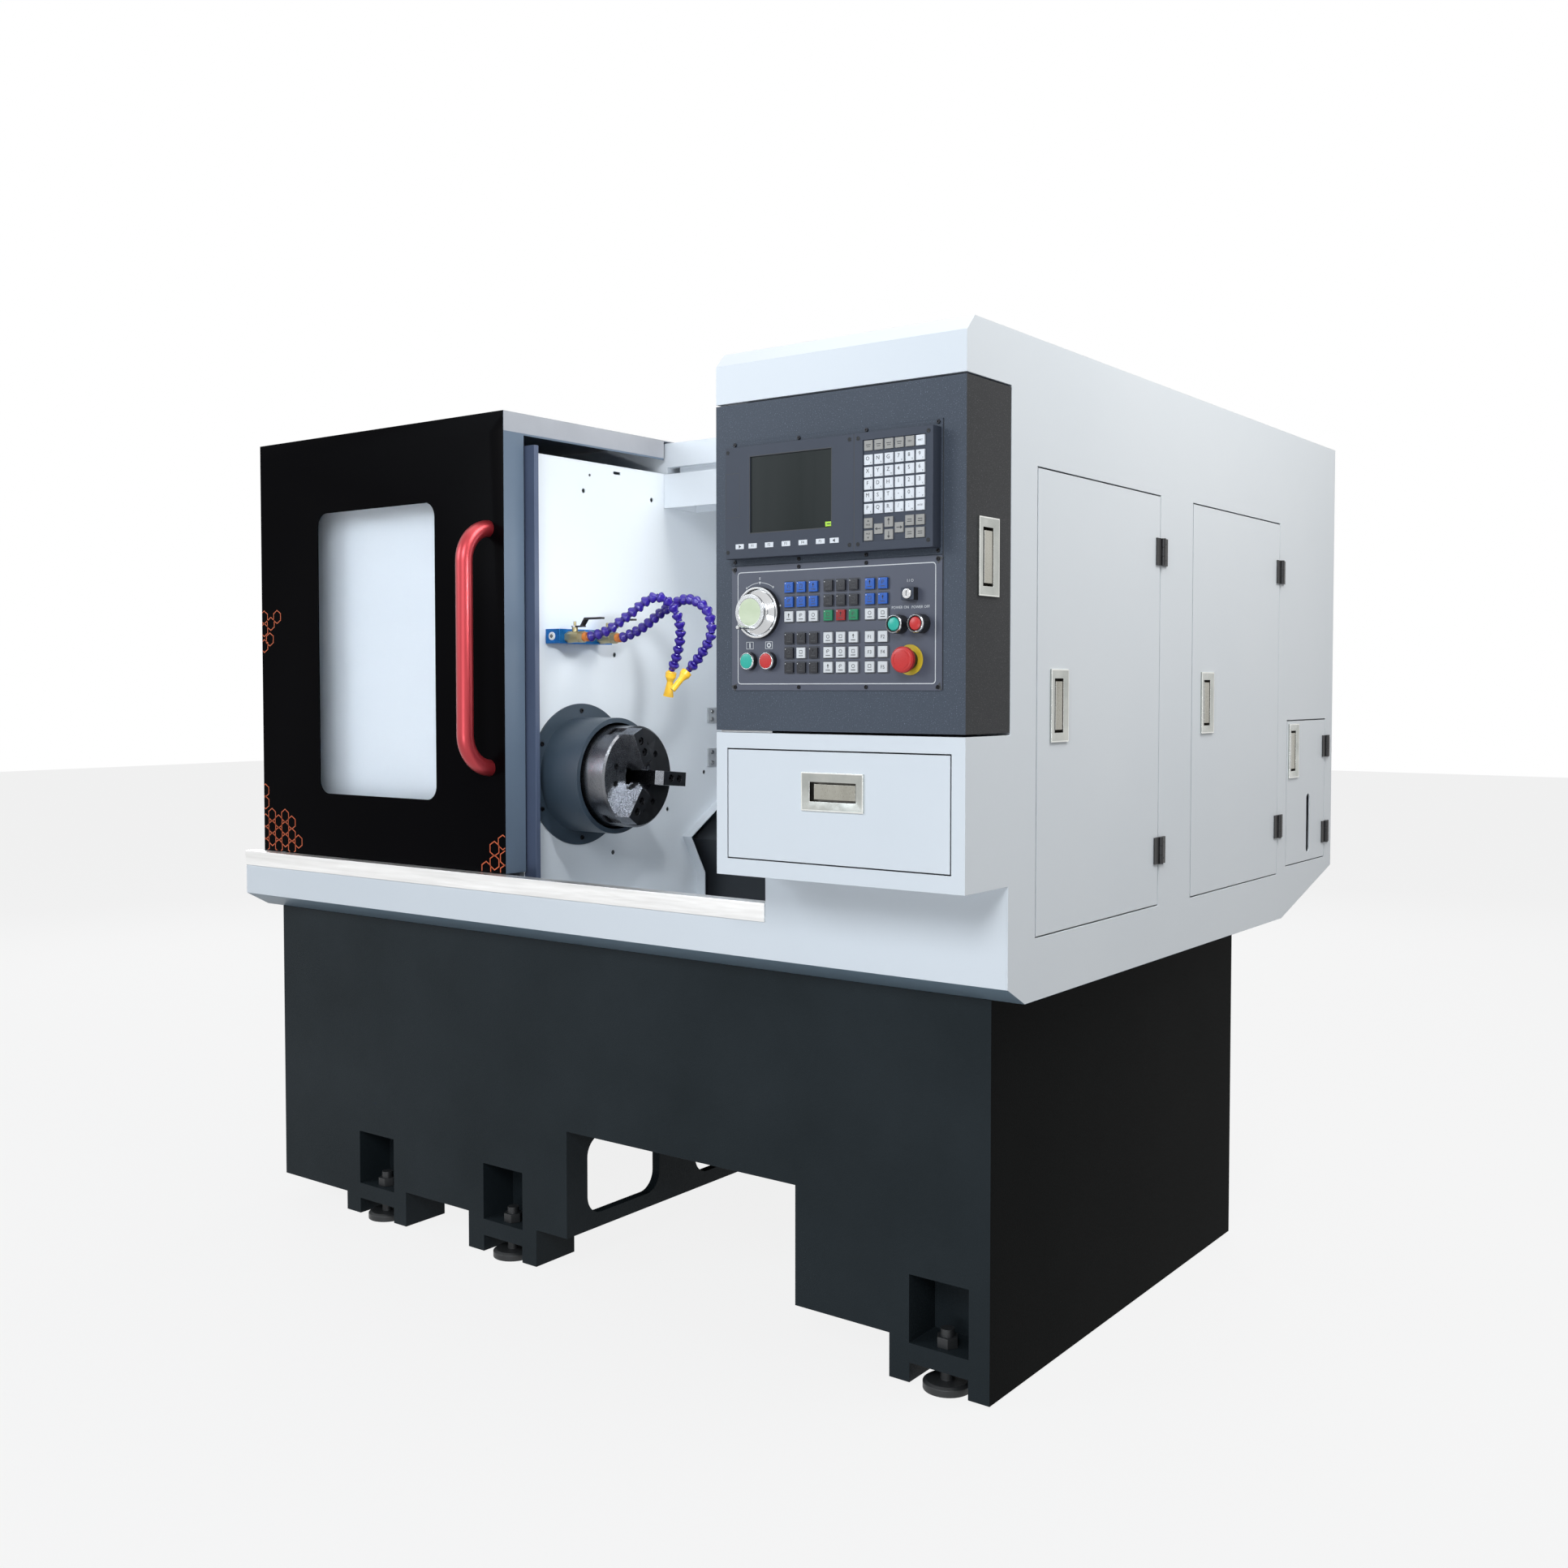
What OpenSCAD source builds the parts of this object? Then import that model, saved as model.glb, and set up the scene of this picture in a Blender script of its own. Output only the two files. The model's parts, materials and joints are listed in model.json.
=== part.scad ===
// Slant-bed CNC lathe with a sliding door, a swing-out control box and a tool turret.
// X runs along the spindle, Y from the operator to the back, Z up from the floor.
// Inside the modules Y = 0 is the front face of the control box and X = 0 the machine's middle.

/* [Enclosure] */
// Width over the sheet-metal sides
enclosure_w = 2000; // [1960:10:2400]
// Depth from the front face of the control box to the back panel
enclosure_d = 1710; // [1700:10:2060]
// Height of the hood above the floor
enclosure_h = 1740; // [1740:10:2090]
// Thickness of the folded sheet
sheet_t = 2.5; // [2:0.5:3]
// Width of the control cabinet at the right
cabinet_w = 480; // [480:10:520]
// Width of the work area between the headstock wall and the cabinet
work_w = 680; // [680:10:720]
// Height of the skirt's lower edge, where the base starts
skirt_z = 676; // [676:1:680]
// Depth of the hood in front of the inner panel
hood_d = 138; // [138:1:150]

/* [Base casting] */
// How far the base stands in from the enclosure's sides
base_inset = 60; // [40:5:80]
// Front face of the base
base_y = 190; // [190:5:200]
// Depth of the base
base_d = 1052; // [1052:4:1100]
// Wall of the base casting
base_wall = 20; // [16:1:26]
// Top plate of the base casting
base_top = 25; // [20:1:35]
// Height of the underside above the floor
base_gap = 80; // [70:1:90]
// Width and height of the chip conveyor tunnel
tunnel = [567, 297]; // [280:1:600]
// Diameter of a levelling pad
pad_d = 84; // [70:1:96]
// Diameter of a levelling screw
screw_d = 24; // [16:1:30]

/* [Bed and slides] */
// Slope of the bed
slope_a = 30; // [30:1:30]
// Width of a guide rail
rail_w = 34; // [28:1:42]
// Height of a guide rail
rail_h = 30; // [26:1:34]
// Clearance between a slide and its guide
slide_gap = 0.3; // [0.3:0.1:0.5]
// Size across the turret disc's corners
turret_d = 300; // [240:10:320]

/* [Spindle] */
// Height of the spindle axis
spindle_z = 1000; // [1000:1:1000]
// Depth of the spindle axis behind the control box face
spindle_y = 376; // [376:1:380]
// Diameter of the spindle shaft
spindle_d = 90; // [80:1:100]
// Through hole of the spindle
spindle_bore = 56; // [40:1:62]
// Diameter of the chuck
chuck_d = 210; // [180:1:216]
// Length of the chuck body
chuck_l = 91; // [80:1:100]
// Width of a chuck jaw
jaw_w = 30; // [24:1:36]
// Diameter of the spindle pulley
pulley_d = 220; // [180:5:240]
// Diameter of the motor pulley
motor_pulley_d = 160; // [120:5:180]

/* [Door] */
// Width of the sliding door
door_w = 808; // [780:2:830]
// Front plane of the door
door_y = 163; // [163:1:170]
// Diameter of the door handle
handle_d = 34; // [28:1:38]

/* [Control box] */
// Depth of the control box
box_d = 136; // [120:1:136]
// Bottom of the control box
box_z = 1113; // [1113:1:1130]
// Height of the control box
box_h = 537; // [520:1:537]
// Side of a square key
key_s = 17; // [12:1:19]
// Outside diameter of a push button's ring
bezel_d = 29.5; // [24:0.5:32]

/* [Hidden] */
$fn = 64;

run_fit = 0.05;      // radial clearance of a shaft in its bore
seat_gap = 0.3;      // clearance of a sliding or resting fit
cut = 1;             // how far a cutter runs past a face

// Main planes
x_left = -enclosure_w / 2;
x_right = enclosure_w / 2;
cab_x = x_right - cabinet_w;
wall_x = cab_x - work_w;
back_y = enclosure_d - sheet_t;
roof_z = enclosure_h - 6;
hinge_reach = 9;
front_reach = 62;
mid_x = hinge_reach / 2;
mid_y = (enclosure_d - front_reach) / 2;

// Roof, header and jamb
top_z = roof_z - sheet_t;
left_top = enclosure_h - 78;
jamb_x = [wall_x - 25, wall_x + 21];
jamb_y = [222 + sheet_t, 237];
header_y = 660;
header_z = enclosure_h - 60;
lamp_z = [enclosure_h - 153, enclosure_h - 77];

// Skirt and tray
apron_y = 134;
apron_z = 707;
tray_rear_y = 1379;
skirt_back_z = 765;
sill_z = [773, 806];
bay_z = [871, 1109];
bay_y = 345;
hood_z = enclosure_h - 87;
chamfer = [22, 24];

// Base
base_x = [x_left + base_inset, x_right - base_inset];
base_back = base_y + base_d;
leg_z = 4;
foot_x = [x_left + 389, x_left + 792, x_right - 158];
block_w = [202, 202, 196];
block_x = [x_left + 285, x_left + 688, x_right - 256];
foot_block = [110, 215];
foot_setback = 30;
foot_window = [116, 72, 190];
notch = [114, 38];
tunnel_x = cab_x + 24 - tunnel.x;
core_gap = 40;
stud_gap = 1;

// Bed, in the sloping frame of on_slope()
slope_y = 744;
slope_z = 835;
bed_drop = 10;
bed_x = [wall_x - 480, cab_x + 290];
bed_y = [800, 1235];
pedestal = [wall_x - 480, wall_x - 30, 230, 840];
rail_at = [270, 510];
rail_x = [wall_x + 10, cab_x + 280];
saddle_x = [cab_x + 40, cab_x + 280];
saddle_y = [60, 540];
saddle_z = [44, 90];
way_z = 112;
way_x = [saddle_x[0] + 30, saddle_x[1] - 60];
way_w = 30;
table_y = [80, 400];
turret_at = [104, 327];
disc_x = cab_x - 50;
disc_t = 70;
turret_shaft = 80;

// Spindle line
nose_x = wall_x + 74;
chuck_x = nose_x + chuck_l;
tail_x = wall_x - 580;
pulley_x = [wall_x - 560, wall_x - 500];
head_y = 130;
motor_at = [800, 1060];
motor_x = [wall_x - 472, wall_x - 170];
motor_shaft = 38;
belt_t = 9;
jaw_angles = [-5, 115, 235];
jaw_r = [23, 105];
jaw_base = 34;
jaw_front = 40;
jaw_screws = [58, 83];

// Openings of the headstock wall
wall_edge = [[834, 916], [714, 841], [763, 756]];
flange_w = 24;
cover_r = 121;

// Door
door_x = wall_x - 3 - door_w;
door_z = [806, enclosure_h];
door_depth = 56;
door_roof = [652, 720];
window = [209, 390, 141, 625, 30];
pane_t = 6;
track_y = [186, 194];
handle_at = [46, 65];
handle_z = [1003, 1523];
handle_bend = 70;

// Control box
box_x = cab_x;
box_wall = 2;
pin_at = [cab_x + 18, 22];
pin_d = 12;
unit_z = [1394, 1575];
unit_d = 25;
screen_x = [cab_x + 39.5, cab_x + 294.5];
keypad_x = [cab_x + 295, cab_x + 437];
lcd = [cab_x + 91, 1434.5, 160.5, 122.5];
plate_x = [cab_x + 35, cab_x + 440];
plate_z = [1179, 1383];
plate_t = 2;
key_h = 4;
key_cols = [154.6, 178.8, 203, 231.9, 256.1, 280.3, 311, 335.2];
key_rows = [1345, 1321.5, 1298, 1262.8, 1239.3, 1215.8];
pad_cols = [for (i = [0:5]) cab_x + 321.4 + 18.7 * i];
pad_rows = [1554.5, 1532.7, 1513.8, 1495, 1476.6, 1457.7, 1436, 1417];
pad_key = [15.2, 15.4];
wheel_at = [cab_x + 93.5, 1306];
start_at = [cab_x + 74, 1227];
stop_at = [cab_x + 113.8, 1227];
power_on_at = [cab_x + 366.2, 1280.5];
power_off_at = [cab_x + 405, 1280.5];
estop_at = [cab_x + 383.3, 1226];
lock_at = [cab_x + 385.8, 1326.5];
cap_r = bezel_d / 2 - 3.75;
flush_r = bezel_d / 2 - 2.4;
flush_proud = 14;
ring_proud = 22;
lock_r = 8;
lock_deep = 13;
stem_r = 10;

// Recessed pulls: outer size, opening, cup depth
pull = [62, 120];
pull_hole = [50, 104];
pull_depth = 14;
pull_rim = 1.5;
box_pull = [34, 1322.5];

// Drawer
drawer_x = [cab_x + 25, cab_x + 453.6];
drawer_z = [901, 1081];
drawer_gap = 2.2;
drawer_pull_at = [cab_x + 177.7, 985.8];
drawer_box_x = [cab_x + 42, cab_x + 438];
drawer_box_z = [905, 1062];
drawer_back = 322;
drawer_wall = 1.5;

// Side doors: front y, rear y, bottom z, top z, pull y, pull z, hinge heights
side_doors = [
    [225, 710, 778, 1538, 272, 1094, [881, 1434]],
    [862, 1345, 776, 1539, 907, 1094, [881, 1434]],
    [1400, 1660, 788, 1112, 1411, 983, [848, 1048]]];
door_gap = 2.5;
hinge_out = 4.5;
hinge_z = 50;
hinge_leaf = [24, 3];
hinge_pin = 1.5;
sight_slot = [1535, 808, 22, 134];

// Coolant line
manifold = [40, 275, 158, 1275, 30];
valve_y = [300, 397];
valve_z = 1288;
valve_x = [wall_x + 40, wall_x + 88];
lever_x = wall_x + 60;
lever_z = 1312;
link_pitch = 18;
link_gap = 0.9;
socket_gap = 4.5;
ball_r = 7;
hose_route_1 = [[-58, 300, 1288], [-15, 308, 1300], [35, 328, 1337], [78, 345, 1367], [111, 360, 1349],
    [124, 372, 1302], [106, 380, 1246], [89, 384, 1219]];
hose_route_2 = [[-58, 397, 1288], [-7, 400, 1306], [56, 400, 1342], [120, 395, 1363], [176, 390, 1341],
    [194, 385, 1292], [164, 380, 1243], [139, 378, 1219]];
nozzle_tip_1 = [75, 390, 1166];
nozzle_tip_2 = [121, 350, 1179];
nozzle_mouth = [9, 6.2];

// Helpers

module place() translate([-mid_x, -mid_y, 0]) children();

// A box from its limits along each axis
module block(x0, x1, y0, y1, z0, z1) translate([x0, y0, z0]) cube([x1 - x0, y1 - y0, z1 - z0]);

// An outline drawn in Y and Z, run along X
module along_x(x0, x1) translate([x0, 0, 0]) rotate([90, 0, 90]) linear_extrude(x1 - x0) children();

// An outline drawn in X and Z, run along Y
module along_y(y0, y1) translate([0, y1, 0]) rotate([90, 0, 0]) linear_extrude(y1 - y0) children();

// A turned part on the Y axis of a panel position; its outline is drawn as radius and height
module turned(at, y = 0) translate([at.x, y, at.y]) rotate([90, 0, 0]) rotate_extrude() children();

// A bar along X on the axis (y, z)
module round_x(x0, x1, r, at) translate([x0, at.x, at.y]) rotate([0, 90, 0]) cylinder(h = x1 - x0, r = r);

// A bar along Y on the axis (x, z)
module round_y(y0, y1, r, at) translate([at.x, y1, at.y]) rotate([90, 0, 0]) cylinder(h = y1 - y0, r = r);

module round_rect(x, y, w, h, r) {
    translate([x + r, y]) square([w - 2 * r, h]);
    translate([x, y + r]) square([w, h - 2 * r]);
    for (cx = [x + r, x + w - r], cy = [y + r, y + h - r]) translate([cx, cy]) circle(r);
}

// The point t to the right of the corner b between a and c
function mitre(a, b, c, t) =
    let (n = [b.y - a.y, a.x - b.x] / norm(b - a), m = [c.y - b.y, b.x - c.x] / norm(c - b))
    b + t * (n + m) / (1 + n * m);

// A strip of thickness t on the left of the line from p to q
module strip(p, q, t) {
    n = t * [p.y - q.y, q.x - p.x] / norm(q - p);
    polygon([p, q, q + n, p + n]);
}

module on_slope() translate([0, slope_y, slope_z]) rotate([slope_a, 0, 0]) children();

// A point of the sloping frame, as [y, z] of the machine
function slope_pt(y, z) = [slope_y + y * cos(slope_a) - z * sin(slope_a),
    slope_z + y * sin(slope_a) + z * cos(slope_a)];

// Height of the bed's sloping top over a depth y
function bed_top(y) = slope_pt(0, -bed_drop).y + (y - slope_pt(0, -bed_drop).x) * tan(slope_a);

// Height of the rear cut of the headstock wall over a depth y
function wall_low(y) = wall_edge[0].y + (y - wall_edge[0].x) * tan(slope_a);

// Smooth curve through a list of points
function curve_at(p, i, t) =
    let (a = p[max(i - 1, 0)], b = p[i], c = p[i + 1], d = p[min(i + 2, len(p) - 1)])
    0.5 * (2 * b + (c - a) * t + (2 * a - 5 * b + 4 * c - d) * pow(t, 2)
        + (3 * b - a - 3 * c + d) * pow(t, 3));
function curve_points(p, n) =
    concat([for (i = [0:len(p) - 2], k = [0:n - 1]) curve_at(p, i, k / n)], [p[len(p) - 1]]);
function run_length(c, i) = i == 0 ? [0] :
    let (before = run_length(c, i - 1)) concat(before, [before[i - 1] + norm(c[i] - c[i - 1])]);
function evenly(c, n) =
    let (s = run_length(c, len(c) - 1), total = s[len(s) - 1],
        xs = [for (i = [0:len(c) - 1]) [s[i], c[i].x]],
        ys = [for (i = [0:len(c) - 1]) [s[i], c[i].y]],
        zs = [for (i = [0:len(c) - 1]) [s[i], c[i].z]])
    [for (k = [0:n]) let (at = total * k / n) [lookup(at, xs), lookup(at, ys), lookup(at, zs)]];

// Turns the Z axis of the children towards the point q and moves them to p
module aim(p, q) {
    d = q - p;
    translate(p) rotate([0, acos(d.z / norm(d)), atan2(d.y, d.x)]) children();
}

// A recessed pull lying in the XY plane, its cup below it
module flush_pull(w, h) {
    inset = [(w - pull_hole.x) / 2, (h - pull_hole.y) / 2];
    difference() {
        union() {
            linear_extrude(pull_rim) round_rect(0, 0, w, h, 4);
            translate([inset.x, inset.y, -pull_depth]) cube([w - 2 * inset.x, h - 2 * inset.y, pull_depth]);
        }
        translate([inset.x + pull_rim, inset.y + pull_rim, pull_rim - pull_depth])
            cube([w - 2 * (inset.x + pull_rim), h - 2 * (inset.y + pull_rim), pull_depth + cut]);
    }
}

// Base and bed

module foot_pad(i, y0, y1) block(block_x[i], block_x[i] + block_w[i], y0, y1, leg_z, foot_block[1]);

module foot_cuts(i, y0, dir) {
    x = foot_x[i];
    deep = dir > 0 ? [y0 - cut, y0 + 85] : [y0 - 85, y0 + cut];
    through = dir > 0 ? [y0 - cut, y0 + foot_block[0] + cut] : [y0 - foot_block[0] - cut, y0 + cut];
    block(x - foot_window[0] / 2, x + foot_window[0] / 2, deep[0], deep[1], foot_window[1], foot_window[2]);
    block(x - notch[0] / 2, x + notch[0] / 2, through[0], through[1], -cut, notch[1]);
    translate([x, y0 + dir * foot_setback, 0]) cylinder(h = foot_window[1] + cut, r = screw_d / 2 + stud_gap);
}

module base_core(x0, x1, z0) block(x0, x1, base_y + base_wall, base_back - base_wall, z0, skirt_z - base_top);

module base_casting() place() color("#20282E") difference() {
    union() {
        difference() {
            union() {
                block(base_x[0], base_x[1], base_y, base_back, base_gap, skirt_z);
                block(base_x[0], block_x[0], base_y, base_back, 45, base_gap + cut);
                block(base_x[1] - base_wall, base_x[1], base_y, base_back, leg_z, base_gap + cut);
            }
            base_core(base_x[0] + base_wall, tunnel_x - base_wall, -cut);
            base_core(tunnel_x + base_wall, tunnel_x + tunnel.x - base_wall, tunnel.y + base_wall);
            base_core(tunnel_x + tunnel.x + base_wall, base_x[1] - base_wall, -cut);
            block(tunnel_x, tunnel_x + tunnel.x, base_y - cut, base_back + cut, -cut, tunnel.y);
            for (x = [tunnel_x - base_wall, tunnel_x + tunnel.x]) {
                along_x(x - cut, x + base_wall + cut) round_rect(base_y + 60, 110, 220, 160, core_gap);
                along_x(x - cut, x + base_wall + cut) round_rect(base_y + 400, 110, 220, 160, core_gap);
            }
            for (x = [tunnel_x, tunnel_x + tunnel.x]) {
                along_x(x - base_wall - cut, x + base_wall + cut)
                    round_rect(base_y + 400, 380, 190, 180, core_gap);
            }
        }
        for (i = [0:2]) {
            foot_pad(i, base_y, base_y + foot_block[0]);
            foot_pad(i, base_back - foot_block[0], base_back);
        }
    }
    for (i = [0:2]) {
        foot_cuts(i, base_y, 1);
        foot_cuts(i, base_back, -1);
    }
}

module levelling_foot() {
    pad_h = 16;
    cylinder(h = pad_h - 4, r = pad_d / 2);
    translate([0, 0, pad_h - 4]) cylinder(h = 4, r1 = pad_d / 2, r2 = pad_d / 2 - 6);
    translate([0, 0, pad_h - cut]) cylinder(h = 104 - pad_h, r = screw_d / 2);
    translate([0, 0, foot_window[1]]) cylinder(h = 18, r = screw_d * 0.83, $fn = 6);
}

module levelling_feet() place() color("#15181A")
    for (x = foot_x, y = [base_y + foot_setback, base_back - foot_setback]) translate([x, y, 0])
        levelling_foot();

module bed_outline(y0, y1, z0, drop) polygon([[y0, z0], [y1, z0], [y1, bed_top(y1) - drop], [y0,
    bed_top(y0) - drop]]);

module slant_bed() place() color("#3C4A57") difference() {
    union() {
        along_x(bed_x[0], bed_x[1]) bed_outline(bed_y[0], bed_y[1], skirt_z, 0);
        block(pedestal[0], pedestal[1], pedestal[2], bed_y[0] + cut, skirt_z, pedestal[3]);
    }
    bay = (bed_x[1] - bed_x[0] - 5 * base_wall) / 4;
    for (i = [0:3]) {
        x = bed_x[0] + base_wall + i * (bay + base_wall);
        along_x(x, x + bay) bed_outline(bed_y[0] + base_wall, bed_y[1] - base_wall, skirt_z - cut, 30);
    }
    block(pedestal[0] + 30, pedestal[1] - 30, pedestal[2] + 30, bed_y[0] - 30, skirt_z - cut,
        pedestal[3] - 35);
}

module rail_outline(y) {
    h = rail_h;
    w = rail_w / 2;
    polygon([[y - w, 0], [y + w, 0], [y + w, h * 0.35], [y + w - 4, h * 0.5], [y + w, h * 0.65],
        [y + w, h], [y - w, h], [y - w, h * 0.65], [y - w + 4, h * 0.5], [y - w, h * 0.35]]);
}

module bed_rails() place() color("#C9CDD2") on_slope() translate([0, 0, -bed_drop])
    along_x(rail_x[0], rail_x[1]) for (y = rail_at) rail_outline(y);

module headstock() place() color("#5F6B74") {
    x0 = pedestal[0] + 20;
    difference() {
        union() {
            along_x(x0, pedestal[1]) polygon([[spindle_y - head_y, pedestal[3]], [spindle_y + head_y,
                pedestal[3]],
                [spindle_y + head_y, spindle_z + 100], [spindle_y + 70, spindle_z + 160],
                [spindle_y - 70, spindle_z + 160], [spindle_y - head_y, spindle_z + 100]]);
            round_x(x0 - 8, pedestal[1] + 12, 105, [spindle_y, spindle_z]);
            round_x(pedestal[1], nose_x - 28, 95, [spindle_y, spindle_z]);
        }
        round_x(x0 - 9, nose_x, spindle_d / 2 + run_fit, [spindle_y, spindle_z]);
    }
}

// Drive

// The run of a belt round two circles, centred on the spindle
module loop_outline(r1, r2) hull() {
    circle(r1);
    translate(motor_at - [spindle_y, spindle_z]) circle(r2);
}

module drive_belt() place() color("#141414")
    along_x(pulley_x[0] + 5, pulley_x[1] - 5) translate([spindle_y, spindle_z]) difference() {
        loop_outline(pulley_d / 2 + seat_gap + belt_t, motor_pulley_d / 2 + seat_gap + belt_t);
        loop_outline(pulley_d / 2 + seat_gap, motor_pulley_d / 2 + seat_gap);
    }

module spindle_motor() place() color("#46535E") {
    face = motor_x[0];
    difference() {
        union() {
            round_x(face + 12, motor_x[1], 88, motor_at);
            block(face, face + 16, motor_at.x - 95, motor_at.x + 95, motor_at.y - 95, motor_at.y + 95);
            on_slope() block(face + 30, motor_x[1] - 30, 90, 232, -bed_drop, 100);
            block(face + 90, motor_x[1] - 70, motor_at.x - 50, motor_at.x + 50, motor_at.y + 70,
                motor_at.y + 130);
        }
        round_x(face - cut, face + 100, motor_shaft / 2 + run_fit, motor_at);
    }
}

module motor_pulley() place() color("#8D9296") {
    round_x(pulley_x[0], pulley_x[1], motor_pulley_d / 2, motor_at);
    round_x(pulley_x[1] - cut, motor_x[0] + 90, motor_shaft / 2, motor_at);
}

module spindle_shaft() place() color("#B4B8BC") difference() {
    union() {
        round_x(tail_x, nose_x - 24 + cut, spindle_d / 2, [spindle_y, spindle_z]);
        round_x(nose_x - 24, nose_x, 82.5, [spindle_y, spindle_z]);
        round_x(pulley_x[0], pulley_x[1], pulley_d / 2, [spindle_y, spindle_z]);
    }
    round_x(tail_x - cut, nose_x + cut, spindle_bore / 2, [spindle_y, spindle_z]);
}

module chuck_cylinder() place() color("#7C848B") difference() {
    union() {
        round_x(tail_x - 95, tail_x, 80, [spindle_y, spindle_z]);
        round_x(tail_x - 120, tail_x - 94, 52, [spindle_y, spindle_z]);
    }
    round_x(tail_x - 121, tail_x + cut, spindle_bore / 2 - 3, [spindle_y, spindle_z]);
}

// Chuck

module at_jaw(a) translate([0, spindle_y, spindle_z]) rotate([a, 0, 0]) children();

module chuck_body() place() color("#9DA1A4") difference() {
    union() {
        round_x(nose_x, chuck_x - 4, chuck_d / 2, [spindle_y, spindle_z]);
        translate([chuck_x - 4, spindle_y, spindle_z]) rotate([0, 90, 0])
            cylinder(h = 4, r1 = chuck_d / 2, r2 = chuck_d / 2 - 4);
    }
    round_x(nose_x - cut, chuck_x + cut, spindle_bore / 2 - 2, [spindle_y, spindle_z]);
    round_x(chuck_x - 12, chuck_x + cut, 42, [spindle_y, spindle_z]);
    for (a = jaw_angles) {
        at_jaw(a) block(chuck_x - 39, chuck_x + cut, 0, chuck_d / 2 + cut, -jaw_w / 2, jaw_w / 2);
        for (side = [-14.7, 14.7]) at_jaw(a + 180 + side) round_x(chuck_x - 14, chuck_x + cut, 6.5, [70, 0]);
    }
}

module jaw(a) place() color("#2E3235") at_jaw(a) {
    w = jaw_w / 2 - seat_gap;
    top = chuck_x + jaw_front;
    difference() {
        union() {
            block(chuck_x - jaw_base, chuck_x + cut, jaw_r[0] + 4, jaw_r[1] - 6, -w, w);
            along_z_profile(-w, w) polygon([[chuck_x + seat_gap, jaw_r[0]], [top - 14, jaw_r[0]], [top,
                jaw_r[0] + 12], [top, jaw_r[1]], [chuck_x + seat_gap, jaw_r[1]]]);
        }
        for (r = jaw_screws) round_x(top - 12, top + cut, 8, [r, 0]);
    }
}

// An outline drawn in X and Y, run along Z
module along_z_profile(z0, z1) translate([0, 0, z0]) linear_extrude(z1 - z0) children();

module jaw_1() jaw(jaw_angles[0]);
module jaw_2() jaw(jaw_angles[1]);
module jaw_3() jaw(jaw_angles[2]);

// Slides

module carriage() place() color("#4B5A68") on_slope() {
    difference() {
        union() {
            block(saddle_x[0], saddle_x[1], saddle_y[0], saddle_y[1], saddle_z[0], saddle_z[1]);
            for (y = rail_at, x = [saddle_x[0] + 10, saddle_x[1] - 90])
                block(x, x + 80, y - 35, y + 35, -5, saddle_z[0] + cut);
        }
        for (y = rail_at) block(saddle_x[0] - cut, saddle_x[1] + cut, y - rail_w / 2 - slide_gap,
            y + rail_w / 2 + slide_gap, -bed_drop, rail_h - bed_drop + slide_gap);
        block(saddle_x[0] + 60, saddle_x[1] - 60, saddle_y[0] + 60, saddle_y[1] - 60, saddle_z[0] - cut,
            saddle_z[1] - 18);
    }
    for (x = way_x) block(x, x + way_w, saddle_y[0], saddle_y[1], saddle_z[1] - cut, way_z);
}

module cross_slide() place() color("#55626D") on_slope() {
    edge = 15;
    block(way_x[0] - edge, way_x[1] + way_w + edge, table_y[0], table_y[1], way_z + slide_gap, 150);
    for (x = [way_x[0] - edge, way_x[1] + way_w + slide_gap])
        block(x, x + edge - slide_gap, table_y[0], table_y[1], saddle_z[1] + 5, way_z + cut);
    difference() {
        along_x(disc_x + disc_t + seat_gap, disc_x + 250) polygon([[table_y[0], 149], [290, 149], [290, 330],
            [230, turret_at.y + 100], [14, turret_at.y + 100], [-6, turret_at.y + 80], [-6, 260],
                [table_y[0], 170]]);
        round_x(disc_x, disc_x + disc_t + 90, turret_shaft / 2 + run_fit, turret_at);
    }
}

module turret_disc() place() color("#A7ABAE") on_slope() {
    tools = 8;
    difference() {
        round_x(disc_x, disc_x + disc_t, turret_d / 2, turret_at);
        for (k = [0:tools - 1]) translate([0, turret_at.x, turret_at.y]) rotate([k * 360 / tools, 0, 0])
            block(disc_x - cut, disc_x + disc_t + cut, turret_d * 0.44, turret_d, -turret_d, turret_d);
        for (k = [0:tools - 1]) translate([0, turret_at.x, turret_at.y])
            rotate([(k + 0.5) * 360 / tools, 0, 0])
            block(disc_x + 20, disc_x + 46, turret_d * 0.4, turret_d, -13, 13);
        round_x(disc_x - cut, disc_x + 8, 30, turret_at);
    }
    round_x(disc_x + disc_t - cut, disc_x + disc_t + 80, turret_shaft / 2, turret_at);
}

module way_cover() place() color("#2B3036") along_x(wall_x + 2, bed_x[1] + 5) {
    t = 3;
    corner = [slope_y, slope_z];
    toe = [bed_y[0] - 8, slope_z - (bed_y[0] - 8 - slope_y) / tan(slope_a)];
    foot = [toe.x, skirt_z + sheet_t];
    polygon([slope_pt(200, 0), corner, toe, foot, foot + [t, 0], toe + [t, 1],
        corner + [t * 1.6, -t * 0.7], slope_pt(200, -t)]);
}

// Enclosure

module tray_outline(top) polygon([[apron_y, top], [apron_y, apron_z], [base_y + 1, skirt_z],
    [tray_rear_y, skirt_z],
    [back_y, skirt_back_z], [back_y, skirt_back_z + sheet_t], [tray_rear_y - 0.4, skirt_z + sheet_t],
    [base_y + 1.6, skirt_z + sheet_t], [apron_y + sheet_t, apron_z + 1.5], [apron_y + sheet_t, top]]);

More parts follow.
